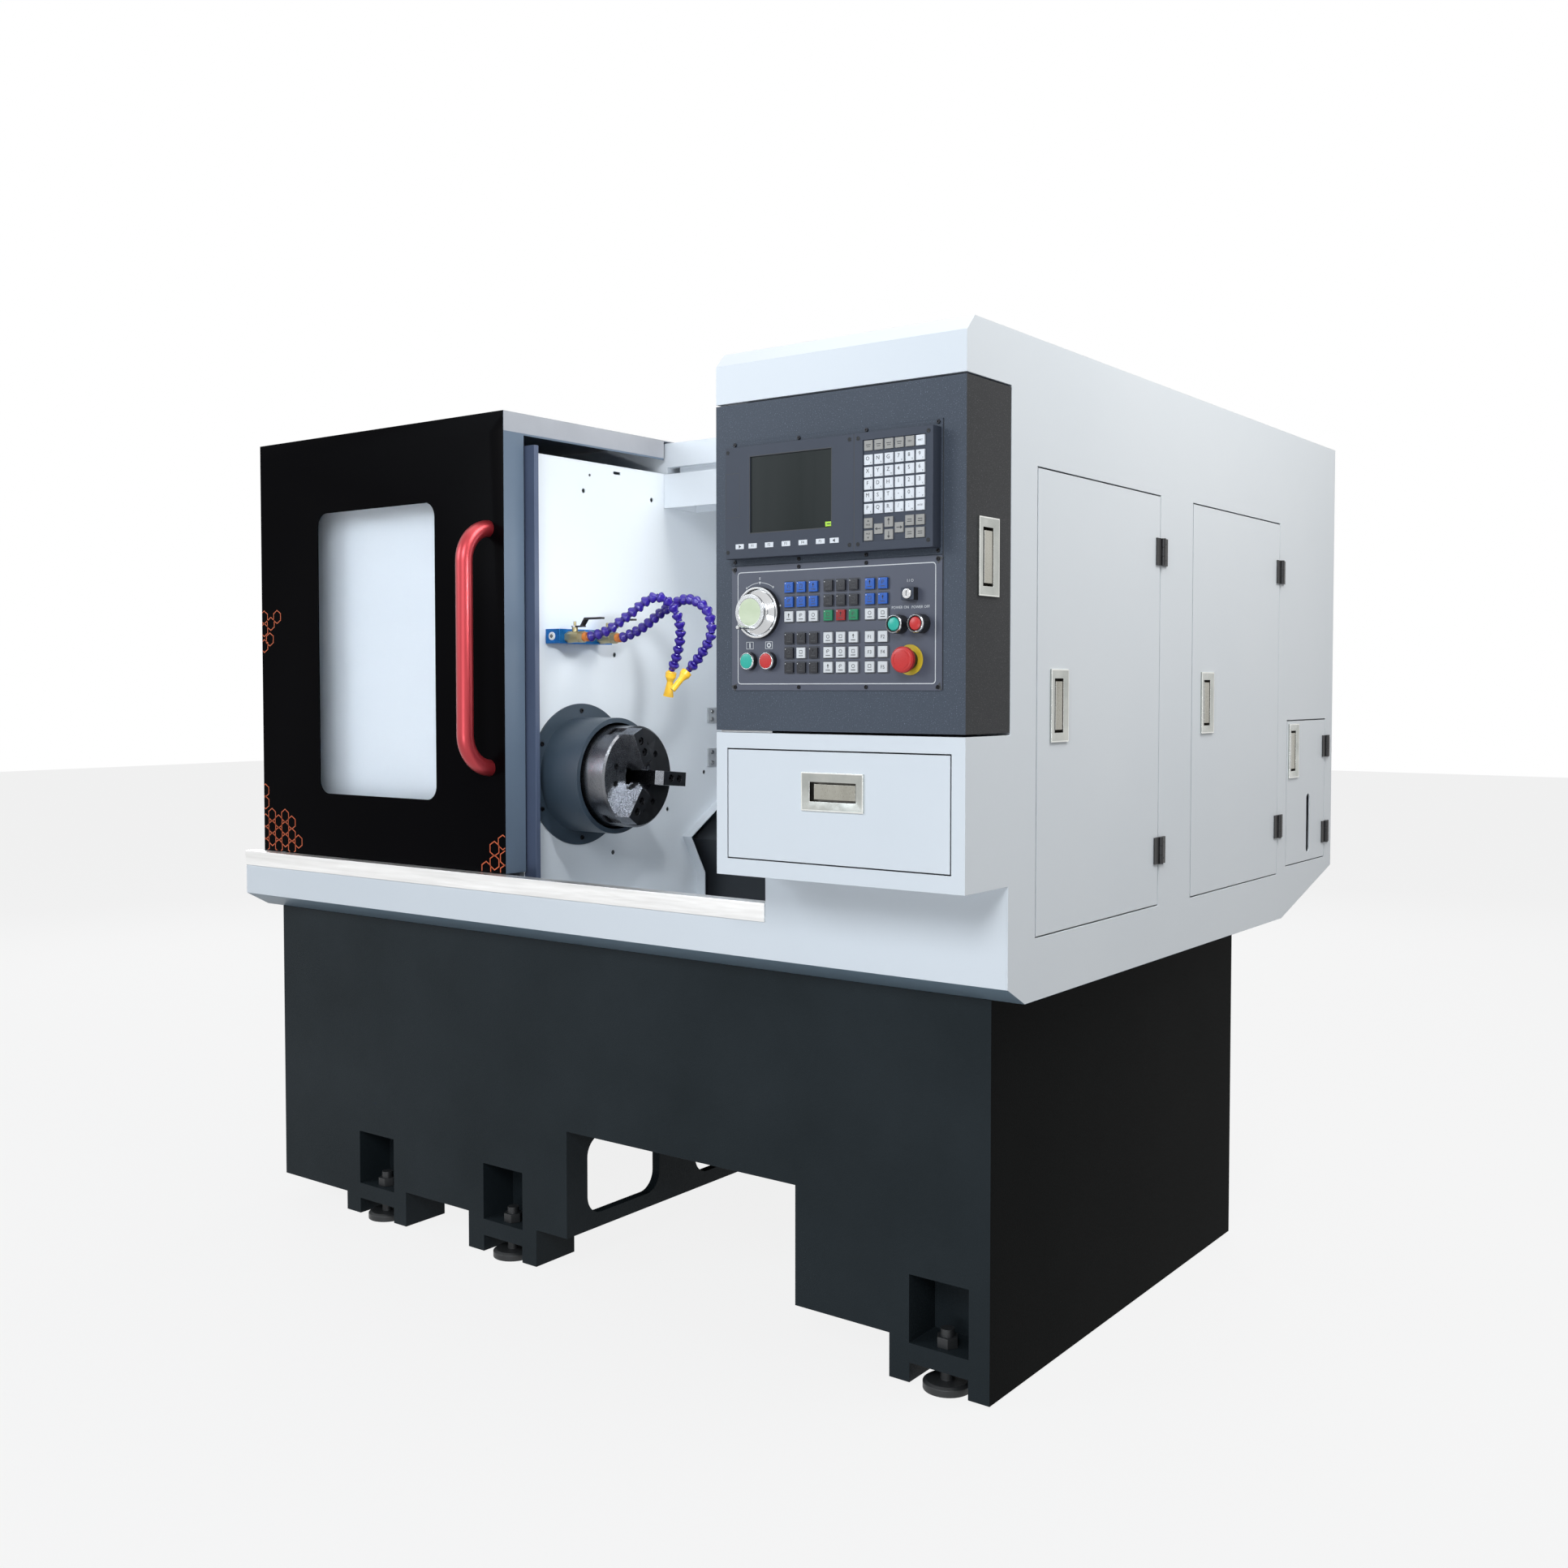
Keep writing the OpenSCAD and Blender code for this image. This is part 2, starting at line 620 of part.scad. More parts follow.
module chip_tray() place() color("#E9EDF3") {
    difference() {
        union() {
            along_x(x_left, cab_x) tray_outline(sill_z[1] - sheet_t);
            along_x(cab_x, x_right - sheet_t) tray_outline(bay_z[0]);
        }
        block(bed_x[0] - cut, bed_x[1] + cut, bed_y[0] - cut, bed_y[1] + cut, 0, skirt_back_z);
        block(pedestal[0] - cut, pedestal[1] + cut, pedestal[2] - cut, bed_y[0] + cut, 0, skirt_back_z);
    }
    along_x(x_left, x_left + sheet_t) polygon([[apron_y, sill_z[1] - sheet_t], [apron_y, apron_z],
        [base_y + 1, skirt_z],
        [tray_rear_y, skirt_z], [back_y, skirt_back_z], [back_y, sill_z[1] - sheet_t]]);
}

module sill_strip() place() color("#C4C7C9") along_x(x_left, cab_x - 0.5) polygon([[apron_y - 3, sill_z[0]],
    [apron_y, sill_z[0]], [apron_y, sill_z[1] - sheet_t], [apron_y + 26, sill_z[1] - sheet_t],
    [apron_y + 26, sill_z[1]], [apron_y - 3, sill_z[1]]]);

module door_rail() place() color("#9EA3A7") along_x(x_left + 5, cab_x - 5) {
    shelf = sill_z[0] - 16;
    polygon([[apron_y + sheet_t, shelf], [200, shelf], [200, shelf + 3], [track_y[1], shelf + 3],
        [track_y[1], door_z[0] - 8], [track_y[0], door_z[0] - 8], [track_y[0], shelf + 3],
            [apron_y + sheet_t, shelf + 3]]);
}

module left_housing() place() color("#E4E9F0") {
    tray_z = skirt_z + sheet_t;
    block(x_left, jamb_x[0] + 13, jamb_y[0] - sheet_t, jamb_y[0], sill_z[1] - sheet_t, left_top);
    block(x_left + sheet_t, jamb_x[0] + 13, jamb_y[0] - sheet_t, jamb_y[0], tray_z, sill_z[1]);
    difference() {
        block(x_left, wall_x, jamb_y[0] - sheet_t, header_y + sheet_t, left_top, left_top + sheet_t);
        block(jamb_x[0] - seat_gap, wall_x + cut, 0, jamb_y[1] + seat_gap, left_top - cut, left_top + 9);
    }
    along_x(x_left, x_left + sheet_t) polygon([[jamb_y[0], sill_z[1] - sheet_t], [back_y,
        sill_z[1] - sheet_t],
        [back_y, top_z], [header_y + sheet_t, top_z], [header_y + sheet_t, left_top], [jamb_y[0], left_top]]);
}

module rear_housing() place() color("#E4E9F0") {
    along_y(back_y, enclosure_d) polygon([[x_left, skirt_back_z], [x_right - sheet_t, skirt_back_z],
        [x_right - sheet_t, enclosure_h], [cab_x, enclosure_h], [cab_x, roof_z], [x_left, roof_z]]);
    block(x_left, cab_x, header_y, back_y + cut, top_z, roof_z);
    along_y(header_y, header_y + sheet_t) polygon([[x_left, left_top + sheet_t], [wall_x, left_top + sheet_t],
        [wall_x, header_z], [cab_x, header_z], [cab_x, roof_z], [x_left, roof_z]]);
    block(wall_x, cab_x, header_y, header_y + 20, header_z, header_z + sheet_t);
}

module headstock_wall() place() color("#E6EBF2") {
    tray_z = skirt_z + sheet_t;
    front = jamb_y[0] + sheet_t;
    edge = concat([[back_y, wall_low(back_y)]], wall_edge, [[wall_edge[2].x, tray_z]]);
    difference() {
        along_x(wall_x - sheet_t, wall_x) polygon(concat([[front, tray_z], [front, left_top],
            [header_y + sheet_t, left_top], [header_y + sheet_t, top_z], [back_y, top_z]], edge));
        round_x(wall_x - 9, wall_x + 9, 100, [spindle_y, spindle_z]);
        for (p = [[389.5, 1601], [606.5, 1602], [483.7, 1255], [788, 987], [658, 908]])
            round_x(wall_x - 9, wall_x + 9, 5, p);
        block(wall_x - 9, wall_x + 9, 482, 504, 1646, 1652);
    }
    along_x(wall_x - sheet_t, wall_x + flange_w) polygon(concat(edge,
        [edge[4] - [sheet_t, 0]], [for (i = [3:-1:1]) mitre(edge[i - 1], edge[i], edge[i + 1], sheet_t)],
        [edge[0] + [0, sheet_t]]));
}

module door_jamb() place() color("#4C5468") {
    z = [skirt_z + sheet_t, left_top + 14];
    difference() {
        block(jamb_x[0], jamb_x[1], jamb_y[0], jamb_y[1], z[0], z[1]);
        block(jamb_x[0] + sheet_t, jamb_x[1] - sheet_t, jamb_y[0] + sheet_t, jamb_y[1] + cut, z[0] - cut,
            z[1] - sheet_t);
    }
}

module spindle_cover() place() color("#5D6B75") difference() {
    union() {
        round_x(wall_x, wall_x + 4, 150, [spindle_y, spindle_z]);
        round_x(wall_x, wall_x + 107, cover_r, [spindle_y, spindle_z]);
    }
    round_x(wall_x - cut, wall_x + 104, cover_r - sheet_t, [spindle_y, spindle_z]);
    round_x(wall_x, wall_x + 110, chuck_d / 2 + 6, [spindle_y, spindle_z]);
    for (a = [90:60:390]) at_jaw(a) round_x(wall_x - cut, wall_x + 9, 4, [135, 0]);
    block(wall_x - cut, wall_x + 9, 0, jamb_y[1] + seat_gap, 0, enclosure_h);
}

module work_lamp() place() color("#E8ECF2") {
    difference() {
        block(wall_x, cab_x - 5, header_y - 12, header_y + 100, lamp_z[0], lamp_z[1]);
        block(wall_x + 3, cab_x - 8, header_y - 9, header_y + 97, lamp_z[0] - 3, lamp_z[1] - 23);
    }
    block(wall_x + 20, cab_x - 20, header_y + 20, header_y + 80, lamp_z[1] - cut, top_z);
}

// Right housing

module side_outline() polygon([[chamfer.x, enclosure_h], [enclosure_d, enclosure_h], [enclosure_d,
    skirt_back_z],
    [tray_rear_y, skirt_z], [base_y + 1, skirt_z], [apron_y, apron_z], [apron_y, bay_z[0]], [0, bay_z[0]],
    [0, bay_z[1]], [hood_d, bay_z[1]], [hood_d, hood_z], [0, hood_z], [0, enclosure_h - chamfer.y]]);

module hood_skin() {
    t = sheet_t;
    strip([back_y, enclosure_h], [chamfer.x, enclosure_h], t);
    polygon([[chamfer.x, enclosure_h], [0, enclosure_h - chamfer.y], [0, hood_z], [t, hood_z],
        [t, enclosure_h - chamfer.y - 1], [chamfer.x + 1, enclosure_h - t]]);
    square_from(0, hood_d + t, hood_z, hood_z + t);
    square_from(hood_d, hood_d + t, bay_z[1], hood_z + t);
    square_from(0, bay_y, bay_z[1] - t, bay_z[1]);
    square_from(0, bay_y, bay_z[0], bay_z[0] + t);
    square_from(bay_y - t, bay_y, bay_z[0], bay_z[1]);
}

module square_from(x0, x1, y0, y1) translate([x0, y0]) square([x1 - x0, y1 - y0]);

module right_housing() place() color("#E4E9F0") {
    t = sheet_t;
    tray_z = skirt_z + t;
    difference() {
        along_x(x_right - t, x_right) side_outline();
        for (d = side_doors) block(x_right - 9, x_right + 9, d[0], d[1], d[2], d[3]);
    }
    difference() {
        along_x(cab_x, x_right - t) hood_skin();
        block(x_right - pull_depth - 6, x_right, side_doors[0][0], bay_y + cut, bay_z[1] - t - cut,
            bay_z[1] + cut);
    }
    along_x(cab_x, cab_x + t) {
        polygon([[0, hood_z], [0, enclosure_h - chamfer.y], [chamfer.x, enclosure_h], [back_y, enclosure_h],
            [back_y, roof_z], [header_y, roof_z], [header_y, hood_z]]);
        square_from(hood_d, 240, bay_z[1], hood_z);
        square_from(0, bay_y, bay_z[0], bay_z[1]);
        square_from(apron_y + t, 240, tray_z + 30, bay_z[0]);
    }
    along_x(cab_x + 300, cab_x + 300 + t) polygon([[base_y + 2, tray_z], [tray_rear_y - 1, tray_z],
        [back_y, skirt_back_z + t + 0.5], [back_y, enclosure_h - t], [hood_d + t, enclosure_h - t],
            [hood_d + t, bay_z[1]],
        [bay_y, bay_z[1]], [bay_y, bay_z[0]], [base_y + 2, bay_z[0]]]);
    difference() {
        block(cab_x, x_right - t, 0, t, bay_z[0], bay_z[1]);
        block(drawer_x[0] - drawer_gap, drawer_x[1] + drawer_gap, -cut, t + cut,
            drawer_z[0] - drawer_gap, drawer_z[1] + drawer_gap);
    }
    for (x = [drawer_box_x[0] + 4, drawer_box_x[1] - 24])
        block(x, x + 20, 20, bay_y - t, bay_z[0], drawer_box_z[0] - seat_gap);
}

module electrical_panel() place() color("#C8CCD0") {
    x = cab_x + 300 + sheet_t;
    block(x, x + 3, 420, 1300, 850, 1600);
    for (z = [950:160:1430]) block(x + 2, x + 12, 450, 1270, z, z + 30);
    for (i = [0:3]) block(x + 2, x + 110, 470 + 180 * i, 610 + 180 * i, 1480, 1590);
    for (i = [0:9]) block(x + 11, x + 80, 470 + 76 * i, 530 + 76 * i, 1090, 1160);
}

// Side doors and their hinges

module side_door(d) place() color("#E4E9F0") {
    g = door_gap;
    difference() {
        block(x_right - sheet_t, x_right, d[0] + g, d[1] - g, d[2] + g, d[3] - g);
        block(x_right - 9, x_right + 9, d[4] + 6, d[4] + 6 + pull_hole.x, d[5] + 8, d[5] + 8 + pull_hole.y);
        if (d[3] < 1200) along_x(x_right - 9, x_right + 9)
            round_rect(sight_slot[0], sight_slot[1], sight_slot[2], sight_slot[3], sight_slot[2] / 2 - 0.1);
    }
    for (z = [d[2] + g + 8, d[3] - g - 10]) block(x_right - sheet_t - 12, x_right - sheet_t + 0.5,
        d[0] + g + 8, d[1] - 80, z, z + 2);
    for (z = d[6]) moving_leaf(d[1] + 2, z);
}

module hinge_barrel(y, z0, z1) translate([x_right + hinge_out, y, z0]) cylinder(h = z1 - z0, r = hinge_out);

module moving_leaf(y, z) difference() {
    union() {
        block(x_right, x_right + hinge_leaf.y, y - hinge_leaf.x, y - 1, z - hinge_z / 2, z + hinge_z / 2);
        hinge_barrel(y, z - 8, z + 8);
        block(x_right, x_right + hinge_leaf.y, y - 4, y, z - 8, z + 8);
    }
    translate([x_right + hinge_out, y, z - 9]) cylinder(h = 18, r = hinge_pin + run_fit);
    for (s = [-1, 1]) translate([x_right + hinge_out, y, z + s * (8 + hinge_z / 4)])
        cylinder(h = hinge_z / 2, r = hinge_out + 0.5, center = true);
}

module fixed_leaf(y, z) {
    difference() {
        union() {
            block(x_right, x_right + hinge_leaf.y, y + 1, y + hinge_leaf.x, z - hinge_z / 2, z + hinge_z / 2);
            for (s = [-1, 1]) block(x_right, x_right + hinge_leaf.y, y, y + 4, z + s * 16.8 - 8.2,
                z + s * 16.8 + 8.2);
        }
        translate([x_right + hinge_out, y, z]) cylinder(h = 17, r = hinge_out + 0.5, center = true);
    }
    for (s = [-1, 1]) hinge_barrel(y, z + s * 16.8 - 8.2, z + s * 16.8 + 8.2);
    translate([x_right + hinge_out, y, z - 10]) cylinder(h = 20, r = hinge_pin);
}

module hinge_leaves() place() color("#1A1A1A") for (d = side_doors, z = d[6]) fixed_leaf(d[1] + 2, z);

module side_door_front() side_door(side_doors[0]);
module side_door_middle() side_door(side_doors[1]);
module side_door_rear() side_door(side_doors[2]);

// Sliding door

module door_shell() place() color("#101114") {
    x0 = door_x;
    x1 = door_x + door_w;
    t = sheet_t;
    z = door_z;
    difference() {
        block(x0, x1, door_y, door_y + t, z[0], z[1]);
        along_y(door_y - cut, door_y + 9) round_rect(x0 + window[0], z[0] + window[2], window[1],
            window[3] - 1, window[4]);
    }
    for (x = [x0, x1 - t]) {
        block(x, x + t, door_y + t - 0.5, door_y + door_depth, z[0], z[1]);
        block(x, x + t, door_y + door_depth - 0.5, door_roof[0], z[1] - 44, z[1]);
    }
    block(x0, x1, door_y, door_roof[1], z[1] - t, z[1]);
    block(x0, x1, door_y, door_y + door_depth, z[0] + 2, z[0] + 2 + t);
    for (x = [x0 + 60, x1 - 140]) {
        difference() {
            block(x, x + 80, track_y[0] - 8, track_y[1] + 8, door_z[0] - 31, z[0] + 3);
            block(x - cut, x + 81, track_y[0] - seat_gap, track_y[1] + seat_gap, 0, z[0] - 8 + seat_gap);
        }
        block(x, x + 80, 670, 715, roof_z + seat_gap, z[1] - t + 0.5);
    }
}

module door_window() place() color("#D8E4EA", 0.35) {
    lap = 15;
    along_y(door_y + sheet_t, door_y + sheet_t + pane_t) round_rect(door_x + window[0] - lap,
        door_z[0] + window[2] - lap,
        window[1] + 2 * lap, window[3] + 2 * lap, window[4] + lap);
}

// The bar stands off the door; both ends bend straight back into it
module door_handle() place() color("#B02A2E") {
    x = door_x + door_w - handle_at.x;
    y = door_y - handle_at.y;
    r = handle_d / 2;
    b = handle_bend;
    difference() {
        translate([x, y, 0]) rotate([0, 0, 90]) {
            translate([0, 0, handle_z[0] + b + r]) cylinder(h = handle_z[1] - handle_z[0] - 2 * (b + r),
                r = r);
            translate([b, 0, handle_z[0] + b + r]) rotate([90, 180, 0]) rotate_extrude(angle = 90)
                translate([b, 0]) circle(r);
            translate([b, 0, handle_z[1] - b - r]) rotate([90, -90, 0]) rotate_extrude(angle = 90)
                translate([b, 0]) circle(r);
            for (z = [handle_z[0] + r, handle_z[1] - r]) translate([b, 0, z]) rotate([0, 90, 0])
                cylinder(h = 60, r = r);
        }
        block(x - 200, x + 200, door_y, door_y + 200, 0, 2000);
    }
}

// Control box

module control_housing() place() color("#4E5866") {
    w = box_wall;
    x = [box_x, x_right];
    z = [box_z, box_z + box_h];
    difference() {
        block(x[0], x[1], 0, box_d, z[0], z[1]);
        block(x[0] + w, x[1] - w, w, box_d - w, z[0] + w, z[1] - w);
        for (s = z) translate([pin_at.x, pin_at.y, s]) cylinder(h = 3 * w, r = pin_d / 2 + run_fit,
            center = true);
        block(x[1] - 9, x[1] + 9, box_pull.x + 6, box_pull.x + 6 + pull_hole.x, box_pull.y + 8,
            box_pull.y + 8 + pull_hole.y);
    }
}

module control_pivots() place() color("#B9BDC1") {
    r = pin_d / 2;
    block(cab_x + 4, cab_x + 111, 8, 40, bay_z[1], box_z - seat_gap);
    block(cab_x + 4, cab_x + 60, 8, 40, box_z + box_h + seat_gap, hood_z);
    translate([pin_at.x, pin_at.y, bay_z[1] + cut]) cylinder(h = box_z - bay_z[1] + 8, r = r);
    translate([pin_at.x, pin_at.y, box_z + box_h - 9]) cylinder(h = 11, r = r);
}

module screen_unit() place() color("#464C5E") difference() {
    block(screen_x[0], screen_x[1], -unit_d, 0, unit_z[0], unit_z[1]);
    block(lcd[0], lcd[0] + lcd[2], -unit_d - cut, 4 - unit_d, lcd[1], lcd[1] + lcd[3]);
}

module screen_glass() place() color("#2C3332")
    block(lcd[0], lcd[0] + lcd[2], 2.5 - unit_d, 4 - unit_d, lcd[1], lcd[1] + lcd[3]);

module keypad_unit() place() color("#464C5E") {
    recess = 2;
    difference() {
        block(keypad_x[0], keypad_x[1], -unit_d, 0, unit_z[0], unit_z[1]);
        block(pad_cols[0] - 10.5, pad_cols[5] + 10.5, -unit_d - cut, recess - unit_d, pad_rows[7] - 9,
            pad_rows[0] + 9);
    }
    for (i = [0:5], j = [0:7]) {
        side = (i == 1 || i == 3) && j > 5;
        z = side ? (pad_rows[6] + pad_rows[7]) / 2 : pad_rows[j];
        block(pad_cols[i] - pad_key.x / 2, pad_cols[i] + pad_key.x / 2, -unit_d - 0.5, recess - unit_d + 0.5,
            z - pad_key.y / 2, z + pad_key.y / 2);
    }
}

module operator_plate() place() color("#525868") block(plate_x[0], plate_x[1], -plate_t, 0, plate_z[0],
    plate_z[1]);

module panel_keys() place() color("#D8DADC") for (c = key_cols, z = key_rows)
    block(cab_x + c - key_s / 2, cab_x + c + key_s / 2, -plate_t - key_h, -plate_t, z - key_s / 2,
        z + key_s / 2);

module bezel(at, proud, bore) turned(at, -plate_t) polygon([[bore + run_fit, 0], [bezel_d / 2, 0],
    [bezel_d / 2, proud - 3], [bezel_d / 2 - 1.5, proud], [bore + run_fit, proud]]);

module switch_bezels() place() color("#C9CCCF") {
    for (at = [start_at, stop_at]) bezel(at, flush_proud - 2, flush_r);
    for (at = [power_on_at, power_off_at]) bezel(at, ring_proud, cap_r);
    bezel(estop_at, 12, stem_r);
    difference() {
        block(lock_at.x - 11.5, lock_at.x + 11.5, -plate_t - lock_deep, -plate_t, lock_at.y - 9.5,
            lock_at.y + 9.5);
        round_y(-20, 0, lock_r + run_fit, lock_at);
    }
    turned(wheel_at, -plate_t) polygon([[6 + run_fit, 0], [42, 0], [42, 9], [41, 10], [38.5, 10], [37, 5],
        [6 + run_fit, 5]]);
}

module push_cap(at, r, y, h, dome) turned(at, y) polygon([[0, 0], [r, 0], [r, h - dome],
    [r - 1.5, h - dome / 3], [r / 2, h - dome / 12], [0, h]]);

module start_button() place() color("#2FB8A0") push_cap(start_at, flush_r, -plate_t - 3.5,
    flush_proud - 4.5, 1.2);
module stop_button() place() color("#D03535") push_cap(stop_at, flush_r, -plate_t - 3.5,
    flush_proud - 4.5, 1.2);
module power_on_button() place() color("#2FB8A0") push_cap(power_on_at, cap_r, -plate_t - 3.5,
    ring_proud - 2.5, 4);
module power_off_button() place() color("#D03535") push_cap(power_off_at, cap_r, -plate_t - 3.5,
    ring_proud - 2.5, 4);

module estop_button() place() color("#C8262C") turned(estop_at, -plate_t - 5.5) polygon([[0, 0], [stem_r, 0],
    [stem_r, 11.5], [20, 11.5], [20, 18], [17.5, 20.8], [12, 21.7], [0, 22]]);

module key_switch() place() color("#B5B8BB") difference() {
    turned(lock_at, -plate_t - 0.5) polygon([[0, 0], [lock_r, 0], [lock_r, lock_deep + 1.5],
        [lock_r - 1, lock_deep + 2.5], [0, lock_deep + 2.5]]);
    block(lock_at.x - 1.2, lock_at.x + 1.2, -plate_t - lock_deep - 4, -plate_t - lock_deep + 0.5,
        lock_at.y - 4.5, lock_at.y + 4.5);
}

module handwheel() place() color("#C5C8CA") {
    turned(wheel_at, -plate_t - 0.5) polygon([[0, 0], [6, 0], [6, 5.2], [35.5, 5.2], [35.5, 7], [25, 12],
        [21.5, 15], [21, 18], [24, 21], [29, 22.5], [29.5, 24], [29.5, 27], [28.5, 28], [23, 28], [22.3, 27.2],
        [0, 27.2]]);
    turned([wheel_at.x, wheel_at.y - 25.6], -plate_t - 27) polygon([[0, 0], [2.2, 0], [2.2, 22], [3, 24],
        [3.6, 27], [3.6, front_reach - plate_t - 29], [2.8, front_reach - plate_t - 27],
        [0, front_reach - plate_t - 27]]);
}

module control_pull() place() color("#A8A594") translate([x_right, box_pull.x, box_pull.y])
    rotate([90, 0, 90])
    flush_pull(pull.x, pull.y);

// Drawer

module drawer_box() place() color("#E9EDF3") {
    x = drawer_box_x;
    z = drawer_box_z;
    w = drawer_wall;
    front = sheet_t + 20;
    difference() {
        union() {
            block(drawer_x[0], drawer_x[1], 0, sheet_t, drawer_z[0], drawer_z[1]);
            block(x[0], x[1], sheet_t - cut, drawer_back, z[0], z[1]);
        }
        block(x[0] + w, x[1] - w, front + w, drawer_back - w, z[0] + w, z[1] + cut);
        block(x[0] + w, x[1] - w, sheet_t, front, z[0] + w, z[1] - w);
        block(drawer_pull_at.x + 8, drawer_pull_at.x + 8 + pull_hole.y, -cut, front - cut,
            drawer_pull_at.y + 6, drawer_pull_at.y + 6 + pull_hole.x);
    }
}

module drawer_pull() place() color("#A8A594") translate([drawer_pull_at.x, 0, drawer_pull_at.y + pull.x])
    rotate([90, 90, 0])
    flush_pull(pull.x, pull.y);

// Coolant line

module coolant_manifold() place() color("#1E78B8")
    block(wall_x, wall_x + manifold[0], manifold[1], manifold[1] + manifold[2], manifold[3],
        manifold[3] + manifold[4]);

module coolant_valves() place() color("#C0A25A") for (y = valve_y) {
    at = [y, valve_z];
    round_x(valve_x[0], valve_x[0] + 14, 12, at, $fn = 6);
    round_x(valve_x[0] + 13, valve_x[1] - 13, 11.5, at);
    round_x(valve_x[1] - 14, valve_x[1], 12, at, $fn = 6);
    translate([lever_x, y, valve_z]) cylinder(h = lever_z - valve_z - 4, r = 6);
    translate([lever_x, y, valve_z]) cylinder(h = lever_z - valve_z + 8, r = 3);
}

module valve_lever(y) place() color("#1B1B1B") {
    reach = 78;
    difference() {
        union() {
            translate([lever_x, y, lever_z - 4]) cylinder(h = 3, r = 8);
            block(lever_x, lever_x + 26, y - 6, y + 6, lever_z - 4, lever_z - 1);
        }
        translate([lever_x, y, lever_z - 9]) cylinder(h = 19, r = 3 + run_fit);
    }
    translate([0, y - 6, 0]) rotate([90, 0, 0]) mirror([0, 0, 1]) linear_extrude(12)
        polygon([[lever_x + 22, lever_z - 4], [lever_x + 34, lever_z + 11], [lever_x + reach, lever_z + 11],
            [lever_x + reach, lever_z + 15], [lever_x + 31, lever_z + 15], [lever_x + 20, lever_z - 1]]);
}

module valve_lever_1() valve_lever(valve_y[0]);
module valve_lever_2() valve_lever(valve_y[1]);

// One link of a jointed hose, from its socket to its ball
module hose_link(l) rotate_extrude() polygon([[0, 0], [9.4, 0], [11, l * 0.1], [11.3, l * 0.2], [10.6,
    l * 0.36],
    [7, l * 0.68], [5.9, l * 0.78], [6.8, l * 0.88], [6.4, l], [0, l]]);

function shifted(route) = [for (p = route) [p.x + wall_x + 160, p.y, p.z]];
function hose_joints(route) = let (c = curve_points(shifted(route), 6), s = run_length(c, len(c) - 1))
    evenly(c, round(s[len(s) - 1] / link_pitch));

module hose(route) {
    p = hose_joints(route);
    for (i = [0:len(p) - 2]) aim(p[i], p[i + 1]) hose_link(norm(p[i + 1] - p[i]) - link_gap);
}

module coolant_hoses() place() color("#32189A") {
    hose(hose_route_1);
    hose(hose_route_2);
}

module nozzle(p, q, mouth) aim(p, q) {
    l = norm(q - p);
    neck = 6.2;
    translate([0, 0, socket_gap]) cylinder(h = l * 0.24 - socket_gap + cut, r = 11);
    translate([0, 0, l * 0.24]) cylinder(h = l * 0.2, r1 = 11, r2 = neck);
    translate([0, 0, l * 0.44 - cut]) cylinder(h = l * 0.56 + cut, r1 = neck, r2 = mouth);
}

// Centre of the ball past the joint q of a hose that comes from p
function ball_at(p, q, gap) = q + (q - p) / norm(q - p) * (ball_r + gap);

module hose_fittings() place() for (i = [0, 1]) {
    p = hose_joints([hose_route_1, hose_route_2][i]);
    end = len(p) - 1;
    color("#E07A28") {
        round_x(valve_x[1], valve_x[1] + 14 - socket_gap, 9.5, [valve_y[i], valve_z]);
        translate(ball_at(p[1], p[0], seat_gap)) sphere(ball_r);
    }
    color("#F8C030") {
        nozzle(p[end], shifted([[nozzle_tip_1, nozzle_tip_2][i]])[0], nozzle_mouth[i]);
        translate(ball_at(p[end - 1], p[end], seat_gap - link_gap)) sphere(ball_r);
    }
}

base_casting();
levelling_feet();
slant_bed();
bed_rails();
headstock();
spindle_motor();
drive_belt();
chip_tray();
sill_strip();
right_housing();
left_housing();
rear_housing();
headstock_wall();
door_jamb();
spindle_cover();
work_lamp();
way_cover();
door_rail();
coolant_manifold();
coolant_valves();
coolant_hoses();
hose_fittings();
hinge_leaves();
control_pivots();
electrical_panel();
door_shell();
door_window();
door_handle();
control_housing();
screen_unit();
screen_glass();
keypad_unit();
operator_plate();
panel_keys();
switch_bezels();
control_pull();
handwheel();
power_on_button();
power_off_button();
start_button();
stop_button();
estop_button();
key_switch();
drawer_box();
drawer_pull();
side_door_front();
side_door_middle();
side_door_rear();
spindle_shaft();
chuck_cylinder();
chuck_body();
jaw_1();
jaw_2();
jaw_3();
motor_pulley();
valve_lever_1();
valve_lever_2();
carriage();
cross_slide();
turret_disc();
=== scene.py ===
import json
import math

import bpy
from mathutils import Matrix, Vector


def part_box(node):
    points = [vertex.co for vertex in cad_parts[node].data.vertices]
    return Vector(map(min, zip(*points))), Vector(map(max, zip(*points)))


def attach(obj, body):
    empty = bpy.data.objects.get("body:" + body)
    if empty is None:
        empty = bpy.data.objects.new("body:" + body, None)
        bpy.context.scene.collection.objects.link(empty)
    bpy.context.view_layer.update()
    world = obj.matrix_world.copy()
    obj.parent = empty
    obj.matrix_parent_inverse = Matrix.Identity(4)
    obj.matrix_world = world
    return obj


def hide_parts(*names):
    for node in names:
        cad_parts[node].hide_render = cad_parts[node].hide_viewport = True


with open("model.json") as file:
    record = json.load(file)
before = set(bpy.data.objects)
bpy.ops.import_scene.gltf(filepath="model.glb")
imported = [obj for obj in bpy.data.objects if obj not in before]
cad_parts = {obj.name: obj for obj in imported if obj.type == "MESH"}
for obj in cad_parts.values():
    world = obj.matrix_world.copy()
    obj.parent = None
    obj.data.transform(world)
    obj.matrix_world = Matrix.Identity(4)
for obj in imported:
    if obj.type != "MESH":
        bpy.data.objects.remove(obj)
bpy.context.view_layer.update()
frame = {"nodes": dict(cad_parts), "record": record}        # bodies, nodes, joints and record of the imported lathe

nodes = frame["nodes"]
